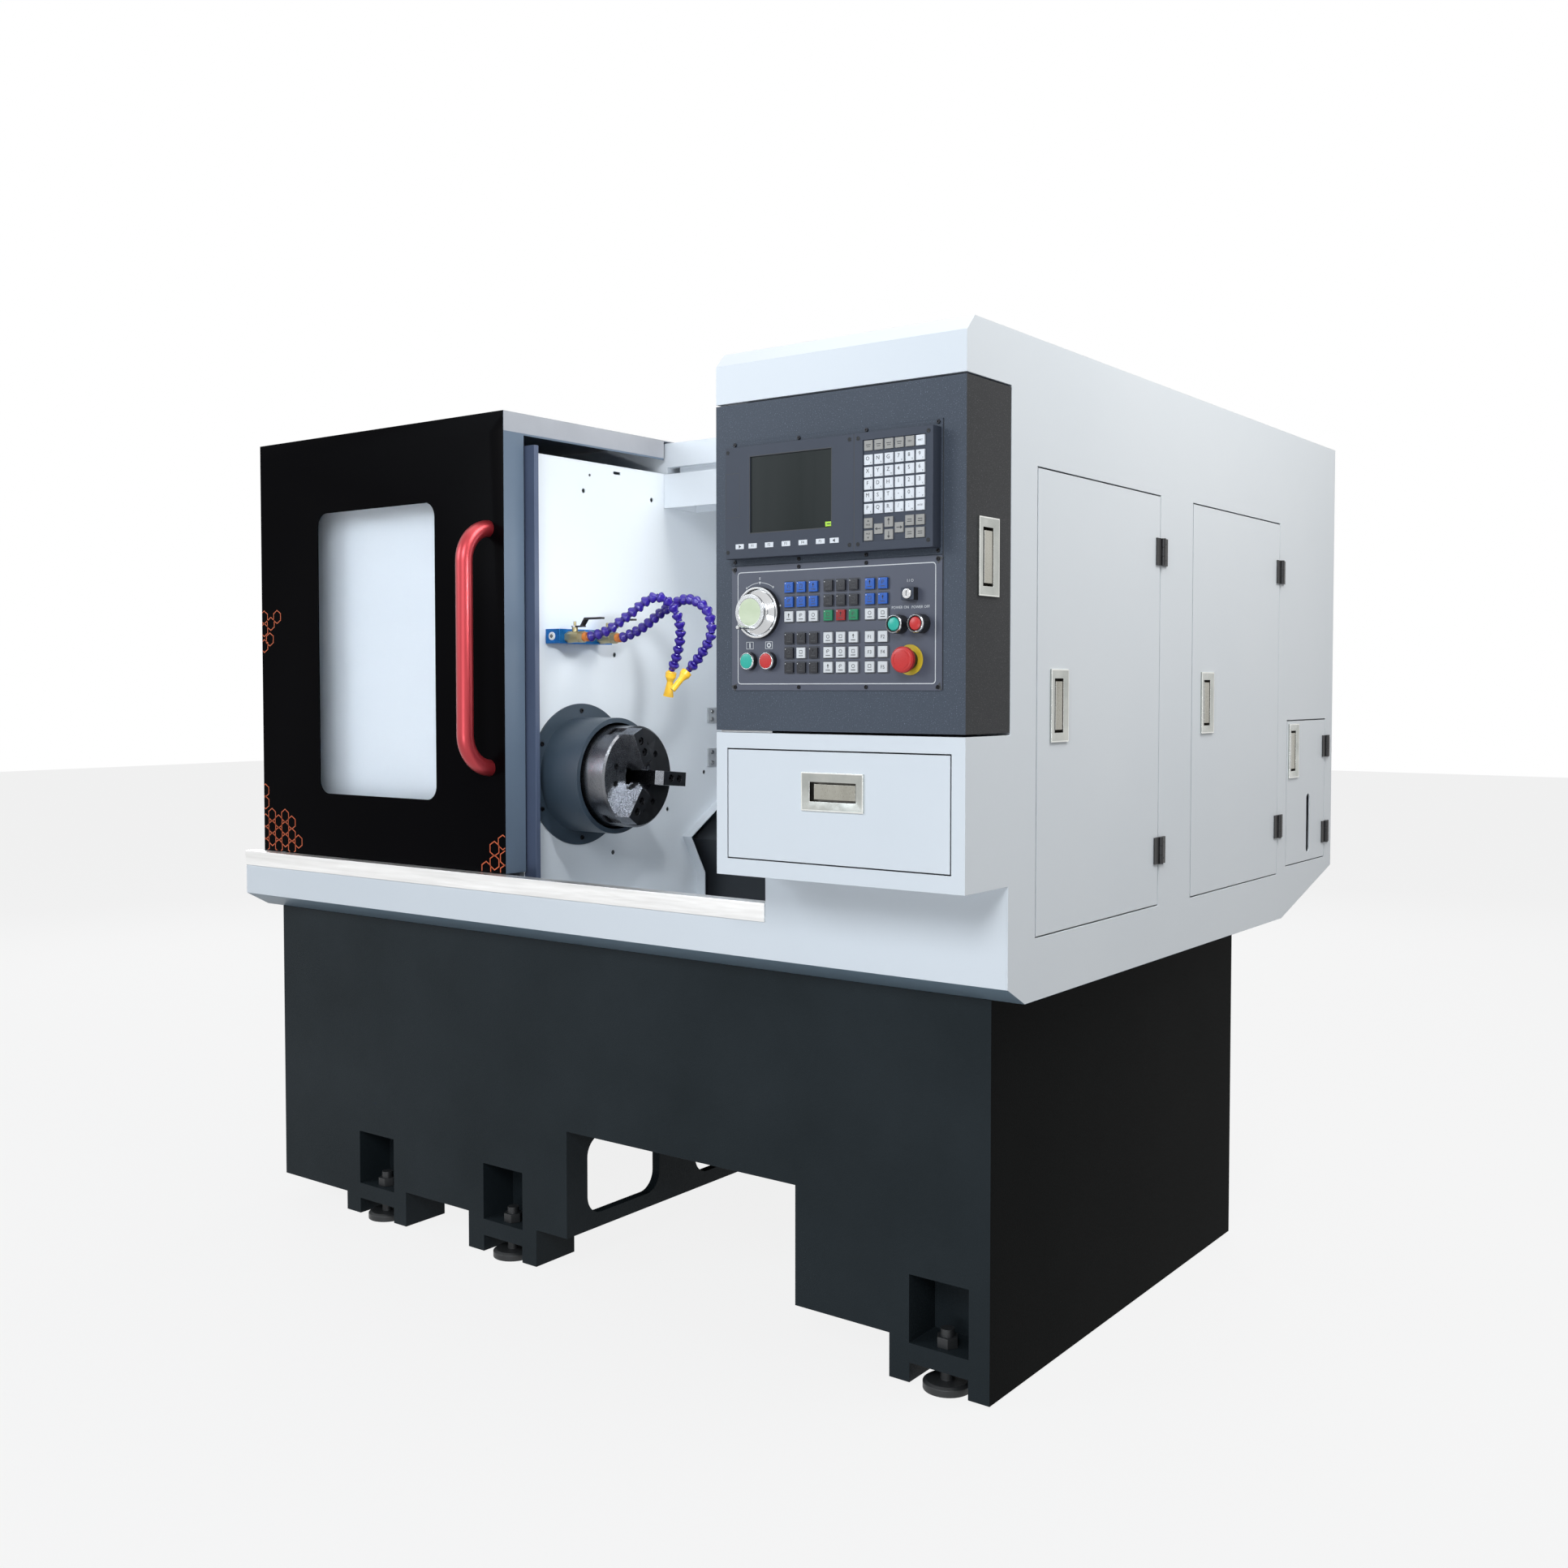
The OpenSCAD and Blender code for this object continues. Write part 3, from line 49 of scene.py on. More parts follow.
record = frame["record"]
bodyOf = {name: body for body, members in record["behaviour"]["bodies"].items() for name in members}
slotOf = {part["node"]: part["material_slot"] for part in record["subparts"]}
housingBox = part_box("right_housing")
# the machine's middle, the control box's front plane and the floor
zero = Vector((housingBox[1].x - 1.0, housingBox[0].y, 0))
toRight, toFront = (1, 0, 0), (0, -1, 0)


def mm(x, y, z):
    return zero + Vector((x, y, z)) / 1000


# operators on one object at a time

def only(piece):
    if bpy.context.mode != "OBJECT":
        bpy.ops.object.mode_set(mode="OBJECT")
    bpy.ops.object.select_all(action="DESELECT")
    piece.select_set(True)
    bpy.context.view_layer.objects.active = piece


def editing(piece, mode="FACE"):
    only(piece)
    bpy.ops.object.mode_set(mode="EDIT")
    bpy.ops.mesh.select_mode(type=mode)
    bpy.ops.mesh.select_all(action="DESELECT")


def done():
    bpy.ops.object.mode_set(mode="OBJECT")


def pick(piece, kind, test):
    done()
    items = {"FACE": piece.data.polygons, "EDGE": piece.data.edges, "VERT": piece.data.vertices}[kind]
    for item in items:
        item.select = test(item)
    bpy.ops.object.mode_set(mode="EDIT")


def settle(piece):
    only(piece)
    bpy.ops.object.transform_apply(location=True, rotation=True, scale=True)
    return piece


def cube(place, size):
    bpy.ops.object.select_all(action="DESELECT")
    bpy.ops.mesh.primitive_cube_add(size=1, location=place, scale=size)
    return settle(bpy.context.active_object)


def extruded(by):
    bpy.ops.mesh.extrude_region_move(TRANSFORM_OT_translate={"value": by})


def closed():
    bpy.ops.mesh.select_all(action="SELECT")
    bpy.ops.mesh.normals_make_consistent(inside=False)
    done()


def rounded(piece, width, segments=2, angle=32):
    only(piece)
    mod = piece.modifiers.new("edges", "BEVEL")
    mod.width = width / 1000
    mod.segments = segments
    mod.limit_method = "ANGLE"
    mod.angle_limit = math.radians(angle)
    bpy.ops.object.modifier_apply(modifier=mod.name)


def smooth(piece, angle=32):
    only(piece)
    bpy.ops.object.shade_smooth_by_angle(angle=math.radians(angle))
    mod = piece.modifiers.new("flat faces", "WEIGHTED_NORMAL")
    mod.keep_sharp = True
    bpy.ops.object.modifier_apply(modifier=mod.name)
    return piece


def cut(piece, cutter):
    only(piece)
    mod = piece.modifiers.new("cut", "BOOLEAN")
    mod.operation = "DIFFERENCE"
    mod.solver = "EXACT"
    mod.object = cutter
    bpy.ops.object.modifier_apply(modifier=mod.name)
    bpy.data.objects.remove(cutter)


def joined(parts, name):
    bpy.ops.object.select_all(action="DESELECT")
    for part in parts:
        part.select_set(True)
    bpy.context.view_layer.objects.active = parts[0]
    bpy.ops.object.join()
    parts[0].name = name
    return parts[0]


def twin(piece, offset, name):
    new = piece.copy()
    new.data = piece.data.copy()
    bpy.context.scene.collection.objects.link(new)
    new.data.transform(Matrix.Translation(offset))
    new.name = name
    return new


def dress(piece, look):
    piece.data.materials.clear()
    piece.data.materials.append(finishes[look])


def machine(point):
    return (point - zero) * 1000


def paint(piece, names, choose, largest=None):
    piece.data.materials.clear()
    for name in names:
        piece.data.materials.append(finishes[name])
    for face in piece.data.polygons:
        if largest and face.area > largest:
            continue
        face.material_index = names.index(choose(machine(face.center), face.normal))


def mount(piece, body):
    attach(piece, body)


def fitted(piece, look, body):
    dress(piece, look)
    mount(piece, body)


# finishes

finishes = {}


def added(tree, kind, values):
    node = tree.nodes.new(kind)
    for socket, value in values.items():
        node.inputs[socket].default_value = value
    return node


def finish(name, look):
    mat = bpy.data.materials.new(name)
    mat.use_nodes = True
    tree = mat.node_tree
    make, link = tree.nodes.new, tree.links.new
    shader = tree.nodes["Principled BSDF"]
    place = make("ShaderNodeTexCoord").outputs["Object"]
    spread = added(tree, "ShaderNodeMapping", {"Scale": look.get("stretch", (1, 1, 1))})
    link(place, spread.inputs["Vector"])

    patches = added(tree, "ShaderNodeTexNoise", {"Scale": look.get("patch", 6), "Detail": 4})
    link(spread.outputs["Vector"], patches.inputs["Vector"])
    tone = make("ShaderNodeValToRGB")
    tone.color_ramp.elements[0].position = 0.3
    tone.color_ramp.elements[1].position = 0.72
    tone.color_ramp.elements[0].color = (*look["colors"][0], 1)
    tone.color_ramp.elements[1].color = (*look["colors"][1], 1)
    link(patches.outputs["Fac"], tone.inputs["Fac"])
    colour = tone.outputs["Color"]

    if "speck" in look:
        dots = added(tree, "ShaderNodeTexNoise", {"Scale": look["speck"]["scale"], "Detail": 1})
        link(place, dots.inputs["Vector"])
        mask = make("ShaderNodeValToRGB")
        mask.color_ramp.elements[0].position = look["speck"]["from"]
        mask.color_ramp.elements[1].position = look["speck"]["to"]
        link(dots.outputs["Fac"], mask.inputs["Fac"])
        over = make("ShaderNodeMix")
        over.data_type = "RGBA"
        link(mask.outputs["Color"], over.inputs["Factor"])
        link(colour, over.inputs["A"])
        over.inputs["B"].default_value = (*look["speck"]["color"], 1)
        colour = over.outputs["Result"]
    link(colour, shader.inputs["Base Color"])

    grain = added(tree, "ShaderNodeTexNoise",
                  {"Scale": look.get("grain", 900), "Detail": look.get("detail", 3)})
    link(spread.outputs["Vector"], grain.inputs["Vector"])
    low, high = look["rough"]
    rough = added(tree, "ShaderNodeMapRange",
                  {"From Min": 0.25, "From Max": 0.75, "To Min": low, "To Max": high})
    link(grain.outputs["Fac"], rough.inputs["Value"])
    link(rough.outputs["Result"], shader.inputs["Roughness"])
    bump = added(tree, "ShaderNodeBump",
                 {"Strength": look.get("bump", 0.15), "Distance": look.get("depth", 0.0003)})
    link(grain.outputs["Fac"], bump.inputs["Height"])
    link(bump.outputs["Normal"], shader.inputs["Normal"])
    for socket, value in look.get("sockets", {}).items():
        shader.inputs[socket].default_value = value
    finishes[name] = mat


bareMetal = {"Metallic": 1.0}
looks = {
    "base_black": dict(colors=((0.013, 0.018, 0.021), (0.019, 0.025, 0.029)), patch=5, grain=420,
        rough=(0.42, 0.58), bump=0.5, depth=0.0006, sockets={"Specular IOR Level": 0.1}),
    # darker copy of the base paint for the right-hand side faces: painted shade
    "base_side": dict(colors=((0.002, 0.0024, 0.0024), (0.0032, 0.0036, 0.0036)), patch=5, grain=420,
        rough=(0.5, 0.62), bump=0.5, depth=0.0006, sockets={"Specular IOR Level": 0.02}),
    "leg_silver": dict(colors=((0.33, 0.34, 0.37), (0.42, 0.43, 0.46)), patch=5, rough=(0.35, 0.45),
        bump=0.08),
    "feet_black": dict(colors=((0.012, 0.013, 0.014), (0.02, 0.021, 0.022)), rough=(0.35, 0.6), bump=0.3),
    "bed_paint": dict(colors=((0.045, 0.065, 0.09), (0.055, 0.08, 0.11)), rough=(0.35, 0.5), grain=300,
        bump=0.3),
    "ground_steel": dict(colors=((0.42, 0.43, 0.44), (0.55, 0.56, 0.57)), rough=(0.18, 0.34),
        stretch=(1, 30, 30), grain=300, sockets=bareMetal),
    "head_paint": dict(colors=((0.1, 0.13, 0.16), (0.12, 0.155, 0.19)), rough=(0.35, 0.5), grain=300,
        bump=0.3),
    "motor_paint": dict(colors=((0.06, 0.085, 0.11), (0.07, 0.1, 0.13)), rough=(0.35, 0.5), bump=0.2),
    "belt_rubber": dict(colors=((0.012, 0.012, 0.012), (0.02, 0.02, 0.02)), rough=(0.6, 0.8), bump=0.3),
    "white_paint": dict(colors=((0.72, 0.76, 0.8), (0.76, 0.795, 0.83)), patch=1.6, grain=1300,
        rough=(0.3, 0.42), bump=0.08, depth=0.0002),
    # darker slate copy of the white paint, laid on downward faces as painted shade
    "bevel_paint": dict(colors=((0.19, 0.27, 0.34), (0.22, 0.3, 0.37)), patch=1.6, grain=1300,
        rough=(0.4, 0.5), bump=0.08, depth=0.0002),
    "sill_steel": dict(colors=((0.76, 0.755, 0.745), (0.96, 0.955, 0.945)), patch=90, stretch=(0.03, 1, 1),
        grain=900, detail=6, rough=(0.28, 0.5), bump=0.25, sockets=bareMetal),
    "jamb_paint": dict(colors=((0.07, 0.09, 0.15), (0.08, 0.105, 0.17)), rough=(0.3, 0.42), bump=0.1),
    "cover_paint": dict(colors=((0.032, 0.05, 0.07), (0.04, 0.06, 0.084)), patch=9, rough=(0.32, 0.46),
        grain=700, bump=0.15),
    "dark_sheet": dict(colors=((0.018, 0.021, 0.026), (0.026, 0.03, 0.036)), rough=(0.4, 0.55)),
    "rail_steel": dict(colors=((0.3, 0.31, 0.32), (0.4, 0.41, 0.42)), rough=(0.25, 0.4),
        stretch=(0.05, 1, 1), grain=700, sockets=bareMetal),
    "manifold_blue": dict(colors=((0.006, 0.13, 0.42), (0.008, 0.15, 0.46)), patch=3, rough=(0.22, 0.34),
        sockets={"Metallic": 0.6}),
    "valve_brass": dict(colors=((0.36, 0.31, 0.17), (0.46, 0.4, 0.24)), patch=24, rough=(0.34, 0.5),
        bump=0.1, sockets={"Metallic": 0.8}),
    "hose_indigo": dict(colors=((0.022, 0.008, 0.2), (0.03, 0.011, 0.26)), rough=(0.12, 0.22), bump=0.05,
        sockets={"Subsurface Weight": 0.08, "Subsurface Scale": 0.004}),
    "nozzle_yellow": dict(colors=((0.92, 0.5, 0.02), (0.96, 0.56, 0.04)), rough=(0.25, 0.35), bump=0.05),
    "fitting_plastic": dict(colors=((0.62, 0.18, 0.03), (0.7, 0.22, 0.04)), rough=(0.3, 0.42), bump=0.08),
    "hinge_black": dict(colors=((0.008, 0.008, 0.009), (0.013, 0.013, 0.014)), rough=(0.38, 0.52),
        bump=0.12),
    "pivot_steel": dict(colors=((0.45, 0.46, 0.47), (0.58, 0.59, 0.6)), patch=40, rough=(0.25, 0.42),
        sockets=bareMetal),
    "panel_grey": dict(colors=((0.42, 0.44, 0.46), (0.5, 0.52, 0.54)), patch=18, rough=(0.35, 0.5)),
    "door_black": dict(colors=((0.0018, 0.0017, 0.0022), (0.0024, 0.0022, 0.0028)), patch=3, grain=700,
        rough=(0.16, 0.24), bump=0.02, sockets={"Specular IOR Level": 0.012}),
    "flange_paint": dict(colors=((0.11, 0.15, 0.205), (0.13, 0.175, 0.235)), patch=4, rough=(0.3, 0.42),
        bump=0.08),
    "handle_red": dict(colors=((0.42, 0.028, 0.038), (0.48, 0.036, 0.046)), patch=12, rough=(0.3, 0.4),
        stretch=(1, 1, 0.05), grain=900, bump=0.06,
        sockets={"Metallic": 0.7, "Coat Weight": 0.5, "Coat Roughness": 0.3}),
    "box_grey": dict(colors=((0.052, 0.064, 0.085), (0.062, 0.076, 0.1)), patch=4, grain=1500,
        rough=(0.4, 0.62), bump=0.35, depth=0.0004,
        speck={"scale": 620, "from": 0.62, "to": 0.78, "color": (0.17, 0.2, 0.26)},
        sockets={"Specular IOR Level": 0.25}),
    "bezel_plastic": dict(colors=((0.04, 0.048, 0.068), (0.047, 0.056, 0.078)), patch=8, grain=2200,
        rough=(0.4, 0.52), bump=0.12, sockets={"Specular IOR Level": 0.25}),
    "screen_glass": dict(colors=((0.016, 0.02, 0.019), (0.03, 0.034, 0.033)), patch=4, stretch=(3, 3, 0.2),
        rough=(0.3, 0.36), bump=0.01, sockets={"Specular IOR Level": 0.08}),
    "plate_grey": dict(colors=((0.06, 0.067, 0.096), (0.067, 0.075, 0.106)), patch=10, grain=1800,
        rough=(0.38, 0.5), bump=0.1),
    "key_plastic": dict(colors=((0.66, 0.67, 0.68), (0.72, 0.73, 0.74)), rough=(0.3, 0.42), bump=0.06),
    "ring_chrome": dict(colors=((0.62, 0.63, 0.64), (0.72, 0.73, 0.74)), rough=(0.06, 0.14), bump=0.02,
        sockets=bareMetal),
    "pull_nickel": dict(colors=((0.4, 0.42, 0.4), (0.52, 0.53, 0.5)), patch=25, grain=40, detail=1,
        rough=(0.16, 0.26), bump=0.5, depth=0.0016, sockets=bareMetal),
    # brighter nickel for the pulls' rims and flap edge: painted highlight
    "pull_painted_highlight": dict(colors=((0.72, 0.73, 0.7), (0.82, 0.83, 0.8)), patch=30, rough=(0.2, 0.3), bump=0.05,
        sockets=bareMetal),
    "pull_flap": dict(colors=((0.3, 0.29, 0.25), (0.46, 0.45, 0.4)), patch=14, stretch=(1, 1, 0.3),
        rough=(0.24, 0.36), bump=0.1, sockets=bareMetal),
    "bracket_silver": dict(colors=((0.44, 0.46, 0.49), (0.56, 0.58, 0.6)), patch=50, rough=(0.3, 0.42),
        sockets={"Metallic": 0.35}),
    "wheel_steel": dict(colors=((0.5, 0.51, 0.52), (0.62, 0.63, 0.64)), rough=(0.14, 0.26),
        sockets=bareMetal),
    "cap_green": dict(colors=((0.02, 0.42, 0.33), (0.025, 0.48, 0.38)), rough=(0.2, 0.3), bump=0.03),
    "cap_red": dict(colors=((0.55, 0.02, 0.02), (0.62, 0.03, 0.028)), rough=(0.25, 0.35), bump=0.03),
    "lock_chrome": dict(colors=((0.6, 0.61, 0.62), (0.7, 0.71, 0.72)), rough=(0.08, 0.18),
        sockets=bareMetal),
    "spindle_steel": dict(colors=((0.38, 0.39, 0.4), (0.5, 0.51, 0.52)), rough=(0.2, 0.34),
        sockets=bareMetal),
    "chuck_steel": dict(colors=((0.14, 0.145, 0.16), (0.22, 0.225, 0.24)), patch=20, rough=(0.2, 0.36),
        sockets=bareMetal),
    # near-black jaw steel on the jaws' front faces stands for their dark reflection: painted reflection
    "jaw_steel": dict(colors=((0.018, 0.02, 0.024), (0.03, 0.032, 0.037)), patch=30, rough=(0.3, 0.45),
        sockets={"Metallic": 0.7}),
    "slide_paint": dict(colors=((0.065, 0.09, 0.115), (0.08, 0.11, 0.14)), rough=(0.35, 0.5), bump=0.2),
    # darker copy of the box grey for the box's right-hand side: painted shade; the screen plugs reuse it as their
    # dark grey
    "box_side": dict(colors=((0.027, 0.028, 0.03), (0.034, 0.035, 0.037)), patch=4, grain=1500,
        rough=(0.4, 0.6), bump=0.35, depth=0.0004,
        speck={"scale": 620, "from": 0.62, "to": 0.76, "color": (0.11, 0.11, 0.115)},
        sockets={"Specular IOR Level": 0.15}),
    "key_blue": dict(colors=((0.01, 0.085, 0.4), (0.016, 0.12, 0.5)), rough=(0.16, 0.24), bump=0.04),
    "key_black": dict(colors=((0.012, 0.013, 0.018), (0.018, 0.019, 0.025)), rough=(0.16, 0.26), bump=0.04),
    "key_green": dict(colors=((0.005, 0.2, 0.085), (0.007, 0.24, 0.1)), rough=(0.16, 0.24), bump=0.04),
    "key_red": dict(colors=((0.3, 0.006, 0.008), (0.36, 0.008, 0.01)), rough=(0.16, 0.24), bump=0.04),
    "pad_white": dict(colors=((0.74, 0.76, 0.8), (0.8, 0.82, 0.85)), patch=30, rough=(0.4, 0.5), bump=0.05),
    "pad_beige": dict(colors=((0.3, 0.29, 0.27), (0.34, 0.33, 0.31)), patch=30, rough=(0.4, 0.5),
        bump=0.05),
    "ink_dark": dict(colors=((0.03, 0.032, 0.036), (0.045, 0.047, 0.05)), rough=(0.5, 0.6), bump=0.02),
    "ink_pale": dict(colors=((0.62, 0.63, 0.64), (0.7, 0.71, 0.72)), rough=(0.45, 0.55), bump=0.02),
    "lime": dict(colors=((0.4, 0.72, 0.02), (0.46, 0.8, 0.03)), rough=(0.3, 0.4), bump=0.03),
    "orange_line": dict(colors=((0.5, 0.085, 0.02), (0.58, 0.11, 0.03)), patch=40, rough=(0.35, 0.5),
        bump=0.03),
    "stop_yellow": dict(colors=((0.62, 0.43, 0.02), (0.68, 0.48, 0.03)), patch=30, rough=(0.35, 0.45),
        bump=0.05),
    "dial_cream": dict(colors=((0.6, 0.68, 0.47), (0.68, 0.75, 0.55)), patch=25, stretch=(1, 1, 3),
        rough=(0.35, 0.5), bump=0.1),
    "screw_black": dict(colors=((0.012, 0.012, 0.014), (0.025, 0.025, 0.028)), patch=200, rough=(0.25, 0.4),
        sockets={"Metallic": 0.8}),
    # bright and black copies of the chuck steel: a painted highlight and a painted dark reflection
    "bright_face": dict(colors=((0.16, 0.165, 0.18), (0.27, 0.28, 0.3)), patch=70, rough=(0.2, 0.34),
        sockets=bareMetal),
    "black_face": dict(colors=((0.02, 0.021, 0.024), (0.034, 0.035, 0.039)), patch=30, rough=(0.3, 0.42),
        sockets={"Metallic": 0.7}),
    # darker nickel for the pulls' deep pockets: painted shade
    "nickel_painted_shade": dict(colors=((0.1, 0.095, 0.085), (0.16, 0.155, 0.14)), patch=40, rough=(0.3, 0.45),
        sockets=bareMetal),
    "lever_black": dict(colors=((0.01, 0.01, 0.011), (0.016, 0.016, 0.017)), rough=(0.3, 0.42), bump=0.08),
}
for name, look in looks.items():
    finish(name, look)


def windowPane():
    mat = bpy.data.materials.new("door_pane")
    mat.use_nodes = True
    tree = mat.node_tree
    link = tree.links.new
    shader = tree.nodes["Principled BSDF"]
    shader.inputs["Base Color"].default_value = (0.93, 0.95, 0.97, 1)
    shader.inputs["Transmission Weight"].default_value = 1
    shader.inputs["IOR"].default_value = 1.2
    smear = added(tree, "ShaderNodeTexNoise", {"Scale": 3})
    link(tree.nodes.new("ShaderNodeTexCoord").outputs["Object"], smear.inputs["Vector"])
    rough = added(tree, "ShaderNodeMapRange", {"To Min": 0, "To Max": 0.05})
    link(smear.outputs["Fac"], rough.inputs["Value"])
    link(rough.outputs["Result"], shader.inputs["Roughness"])
    finishes["door_pane"] = mat


windowPane()
print("finishes made:", len(finishes))


# camera, light and floor

view = {"place": (2196, -2056, 1183), "turn": (87.9246, 0, 36.7415), "lens": 36.286, "shift": -0.0247}


def studio():
    data = bpy.data.cameras.new("camera")
    camera = bpy.data.objects.new("camera", data)
    bpy.context.scene.collection.objects.link(camera)
    camera.location = mm(*view["place"])
    camera.rotation_euler = [math.radians(a) for a in view["turn"]]
    data.lens = view["lens"]
    data.sensor_width = 36
    data.shift_y = view["shift"]
    data.clip_end = 60
    bpy.context.scene.camera = camera
    bpy.context.scene.view_settings.view_transform = "Standard"


def lamp(name, place, aim, size, power, color):
    data = bpy.data.lights.new(name, "AREA")
    data.shape = "RECTANGLE"
    data.size, data.size_y = size
    data.energy = power
    data.color = color
    light = bpy.data.objects.new(name, data)
    bpy.context.scene.collection.objects.link(light)
    light.location = place
    light.rotation_euler = (Vector(aim) - Vector(place)).to_track_quat("-Z", "Y").to_euler()


def seenRays(tree):
    make, link = tree.nodes.new, tree.links.new
    path = make("ShaderNodeLightPath")
    total = path.outputs["Is Camera Ray"]
    for kind in ("Is Glossy Ray", "Is Transmission Ray"):
        more = make("ShaderNodeMath")
        more.operation = "MAXIMUM"
        link(total, more.inputs[0])
        link(path.outputs[kind], more.inputs[1])
        total = more.outputs["Value"]
    return total


def surroundings():
    world = bpy.data.worlds.new("studio")
    bpy.context.scene.world = world
    world.use_nodes = True
    tree = world.node_tree
    link = tree.links.new
    seen = tree.nodes["Background"]
    seen.inputs["Color"].default_value = (1, 1, 1, 1)
    seen.inputs["Strength"].default_value = 1
    fill = added(tree, "ShaderNodeBackground", {"Color": (0.93, 0.96, 1, 1), "Strength": 0.11})
    mixed = tree.nodes.new("ShaderNodeMixShader")
    link(seenRays(tree), mixed.inputs["Fac"])
    link(fill.outputs["Background"], mixed.inputs[1])
    link(seen.outputs["Background"], mixed.inputs[2])
    link(mixed.outputs["Shader"], tree.nodes["World Output"].inputs["Surface"])

    bpy.ops.mesh.primitive_plane_add(size=40, location=(0, 0, 0))
    floor = bpy.context.active_object
    floor.name = "floor"
    mat = bpy.data.materials.new("floor")
    mat.use_nodes = True
    tree = mat.node_tree
    link = tree.links.new
    shader = tree.nodes["Principled BSDF"]
    shader.inputs["Base Color"].default_value = (0.36, 0.365, 0.37, 1)
    shader.inputs["Roughness"].default_value = 0.8
    shader.inputs["Specular IOR Level"].default_value = 0.1
    # the camera sees a floor that is mostly as pale as the backdrop
    paper = added(tree, "ShaderNodeEmission", {"Strength": 1})
    share = tree.nodes.new("ShaderNodeMath")
    share.operation = "MULTIPLY"
    share.inputs[1].default_value = 0.86
    link(seenRays(tree), share.inputs[0])
    both = tree.nodes.new("ShaderNodeMixShader")
    link(share.outputs["Value"], both.inputs["Fac"])
    link(shader.outputs["BSDF"], both.inputs[1])
    link(paper.outputs["Emission"], both.inputs[2])
    link(both.outputs["Shader"], tree.nodes["Material Output"].inputs["Surface"])
    floor.data.materials.append(mat)


studio()
surroundings()
lamps = {"key": ((2.2, -4.5, 3.2), (0.1, -0.6, 1.1), (1.5, 1.5), 98, (0.9, 0.95, 1)),
         "left": ((-2.8, -4.6, 3.0), (-0.2, -0.8, 1.1), (2.4, 2.0), 86, (0.84, 0.92, 1)),
         "low": ((1.3, -4.4, 0.45), (0.5, -0.8, 0.85), (1.6, 0.6), 30, (0.88, 0.94, 1)),
         "side": ((2.3, 0.0, 3.5), (1.0, 0.0, 1.6), (1.6, 1.6), 68, (1, 1, 0.98)),
         "top": ((0, 0, 5.4), (0, 0, 1), (4, 4), 50, (1, 1, 1)),
         "back": ((-1.2, 5.0, 3.0), (0, 0.8, 1.1), (3, 2.4), 110, (1, 1, 1)),
         "farSide": ((-4.8, 1.4, 2.8), (-1, 0.2, 1.1), (2.4, 2.4), 90, (1, 1, 1)),
         "work": ((0.48, -0.7, 1.43), (-0.16, -0.42, 1.2), (0.035, 0.035), 1.9, (0.93, 0.97, 1)),
         "inner": ((0.46, 0.02, 1.3), (-0.16, -0.15, 1.1), (0.4, 0.5), 1.5, (0.9, 0.95, 1))}
for lampName, lampData in lamps.items():
    lamp(lampName, *lampData)
print("studio ready")


# CAD nodes with merged, rounded copies

edgeGroups = {
    3.0: "base_casting",
    2: "slant_bed headstock spindle_motor cross_slide",
    1.2: "turret_disc screen_unit",
    1: "chuck_cylinder carriage",
    0.8: "levelling_feet drive_belt right_housing work_lamp control_pivots spindle_shaft jaw_1 "
         "jaw_2 jaw_3 motor_pulley coolant_manifold",
    0.7: "chip_tray rear_housing headstock_wall door_jamb chuck_body",
    0.6: "bed_rails sill_strip left_housing spindle_cover way_cover door_rail electrical_panel "
         "door_shell control_housing panel_keys",
    0.5: "drawer_box valve_lever_1 valve_lever_2 coolant_valves keypad_unit estop_button "
         "door_window",
    0.4: "hinge_leaves side_door_front side_door_middle side_door_rear operator_plate "
         "switch_bezels handwheel power_on_button power_off_button start_button stop_button",
    0.3: "key_switch hose_fittings coolant_hoses",
    0.2: "screen_glass",
    0: "door_handle",
}     # bevel widths in mm
edges = {node: width for width, names in edgeGroups.items() for node in names.split()}


def refined(node):
    source = nodes[node]
    piece = source.copy()
    piece.data = source.data.copy()
    for key in list(piece.keys()):
        del piece[key]
    piece.parent = None
    bpy.context.scene.collection.objects.link(piece)
    piece.name = node + "_made"
    editing(piece, "VERT")
    bpy.ops.mesh.select_all(action="SELECT")
    bpy.ops.mesh.remove_doubles(threshold=0.00001)
    bpy.ops.mesh.dissolve_limited(angle_limit=math.radians(0.3))
    done()
    if edges[node]:
        rounded(piece, edges[node], 2)
    smooth(piece)
    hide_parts(node)
    fitted(piece, slotOf[node], bodyOf[node])
    return piece


made = {}
for node in sorted(nodes):
    if node not in ("control_pull", "drawer_pull"):
        made[node] = refined(node)
print("nodes refined:", len(made))


# two-tone nodes

def doorTone(spot, normal):
    inWindow = -960 < spot.x < -200 and spot.y < 170 and abs(normal.y) < 0.6
    if spot.z > roofHeight and spot.y > 180 and normal.x > 0.4:
        return "leg_silver"
    return "door_black" if inWindow or (normal.y < -0.5 and spot.y < 168) else "flange_paint"


# downward faces low on the tray and housings get painted shade instead of the white paint
def trayShadeTone(spot, normal):
    return "bevel_paint" if normal.z < -0.3 and spot.z < 720 else "white_paint"


def keyTone(spot, normal):
    for column, x in enumerate(pad["columns"]):
        for row, z in enumerate(pad["rows"]):
            middle = (pad["rows"][6] + pad["rows"][7]) / 2 if column in (1, 3) and row > 5 else z
            if abs(spot.x - x) < 7.8 and abs(spot.z - middle) < 7.9 and spot.y < -23.05:
                return "pad_beige" if row > 5 or (row == 0 and column < 5) else "pad_white"
    return "bezel_plastic"


def panelKeyTone(spot, normal):
    column = min(range(8), key=lambda i: abs(spot.x - panel["columns"][i]))
    row = min(range(6), key=lambda i: abs(spot.z - panel["rows"][i]))
    return {"b": "key_blue", "k": "key_black", "w": "key_plastic", "g": "key_green",
            "r": "key_red"}[panel["colours"][row][column]]


def awayFrom(spot, name):
    return math.hypot(spot.x - switches[name][0], spot.z - switches[name][1])


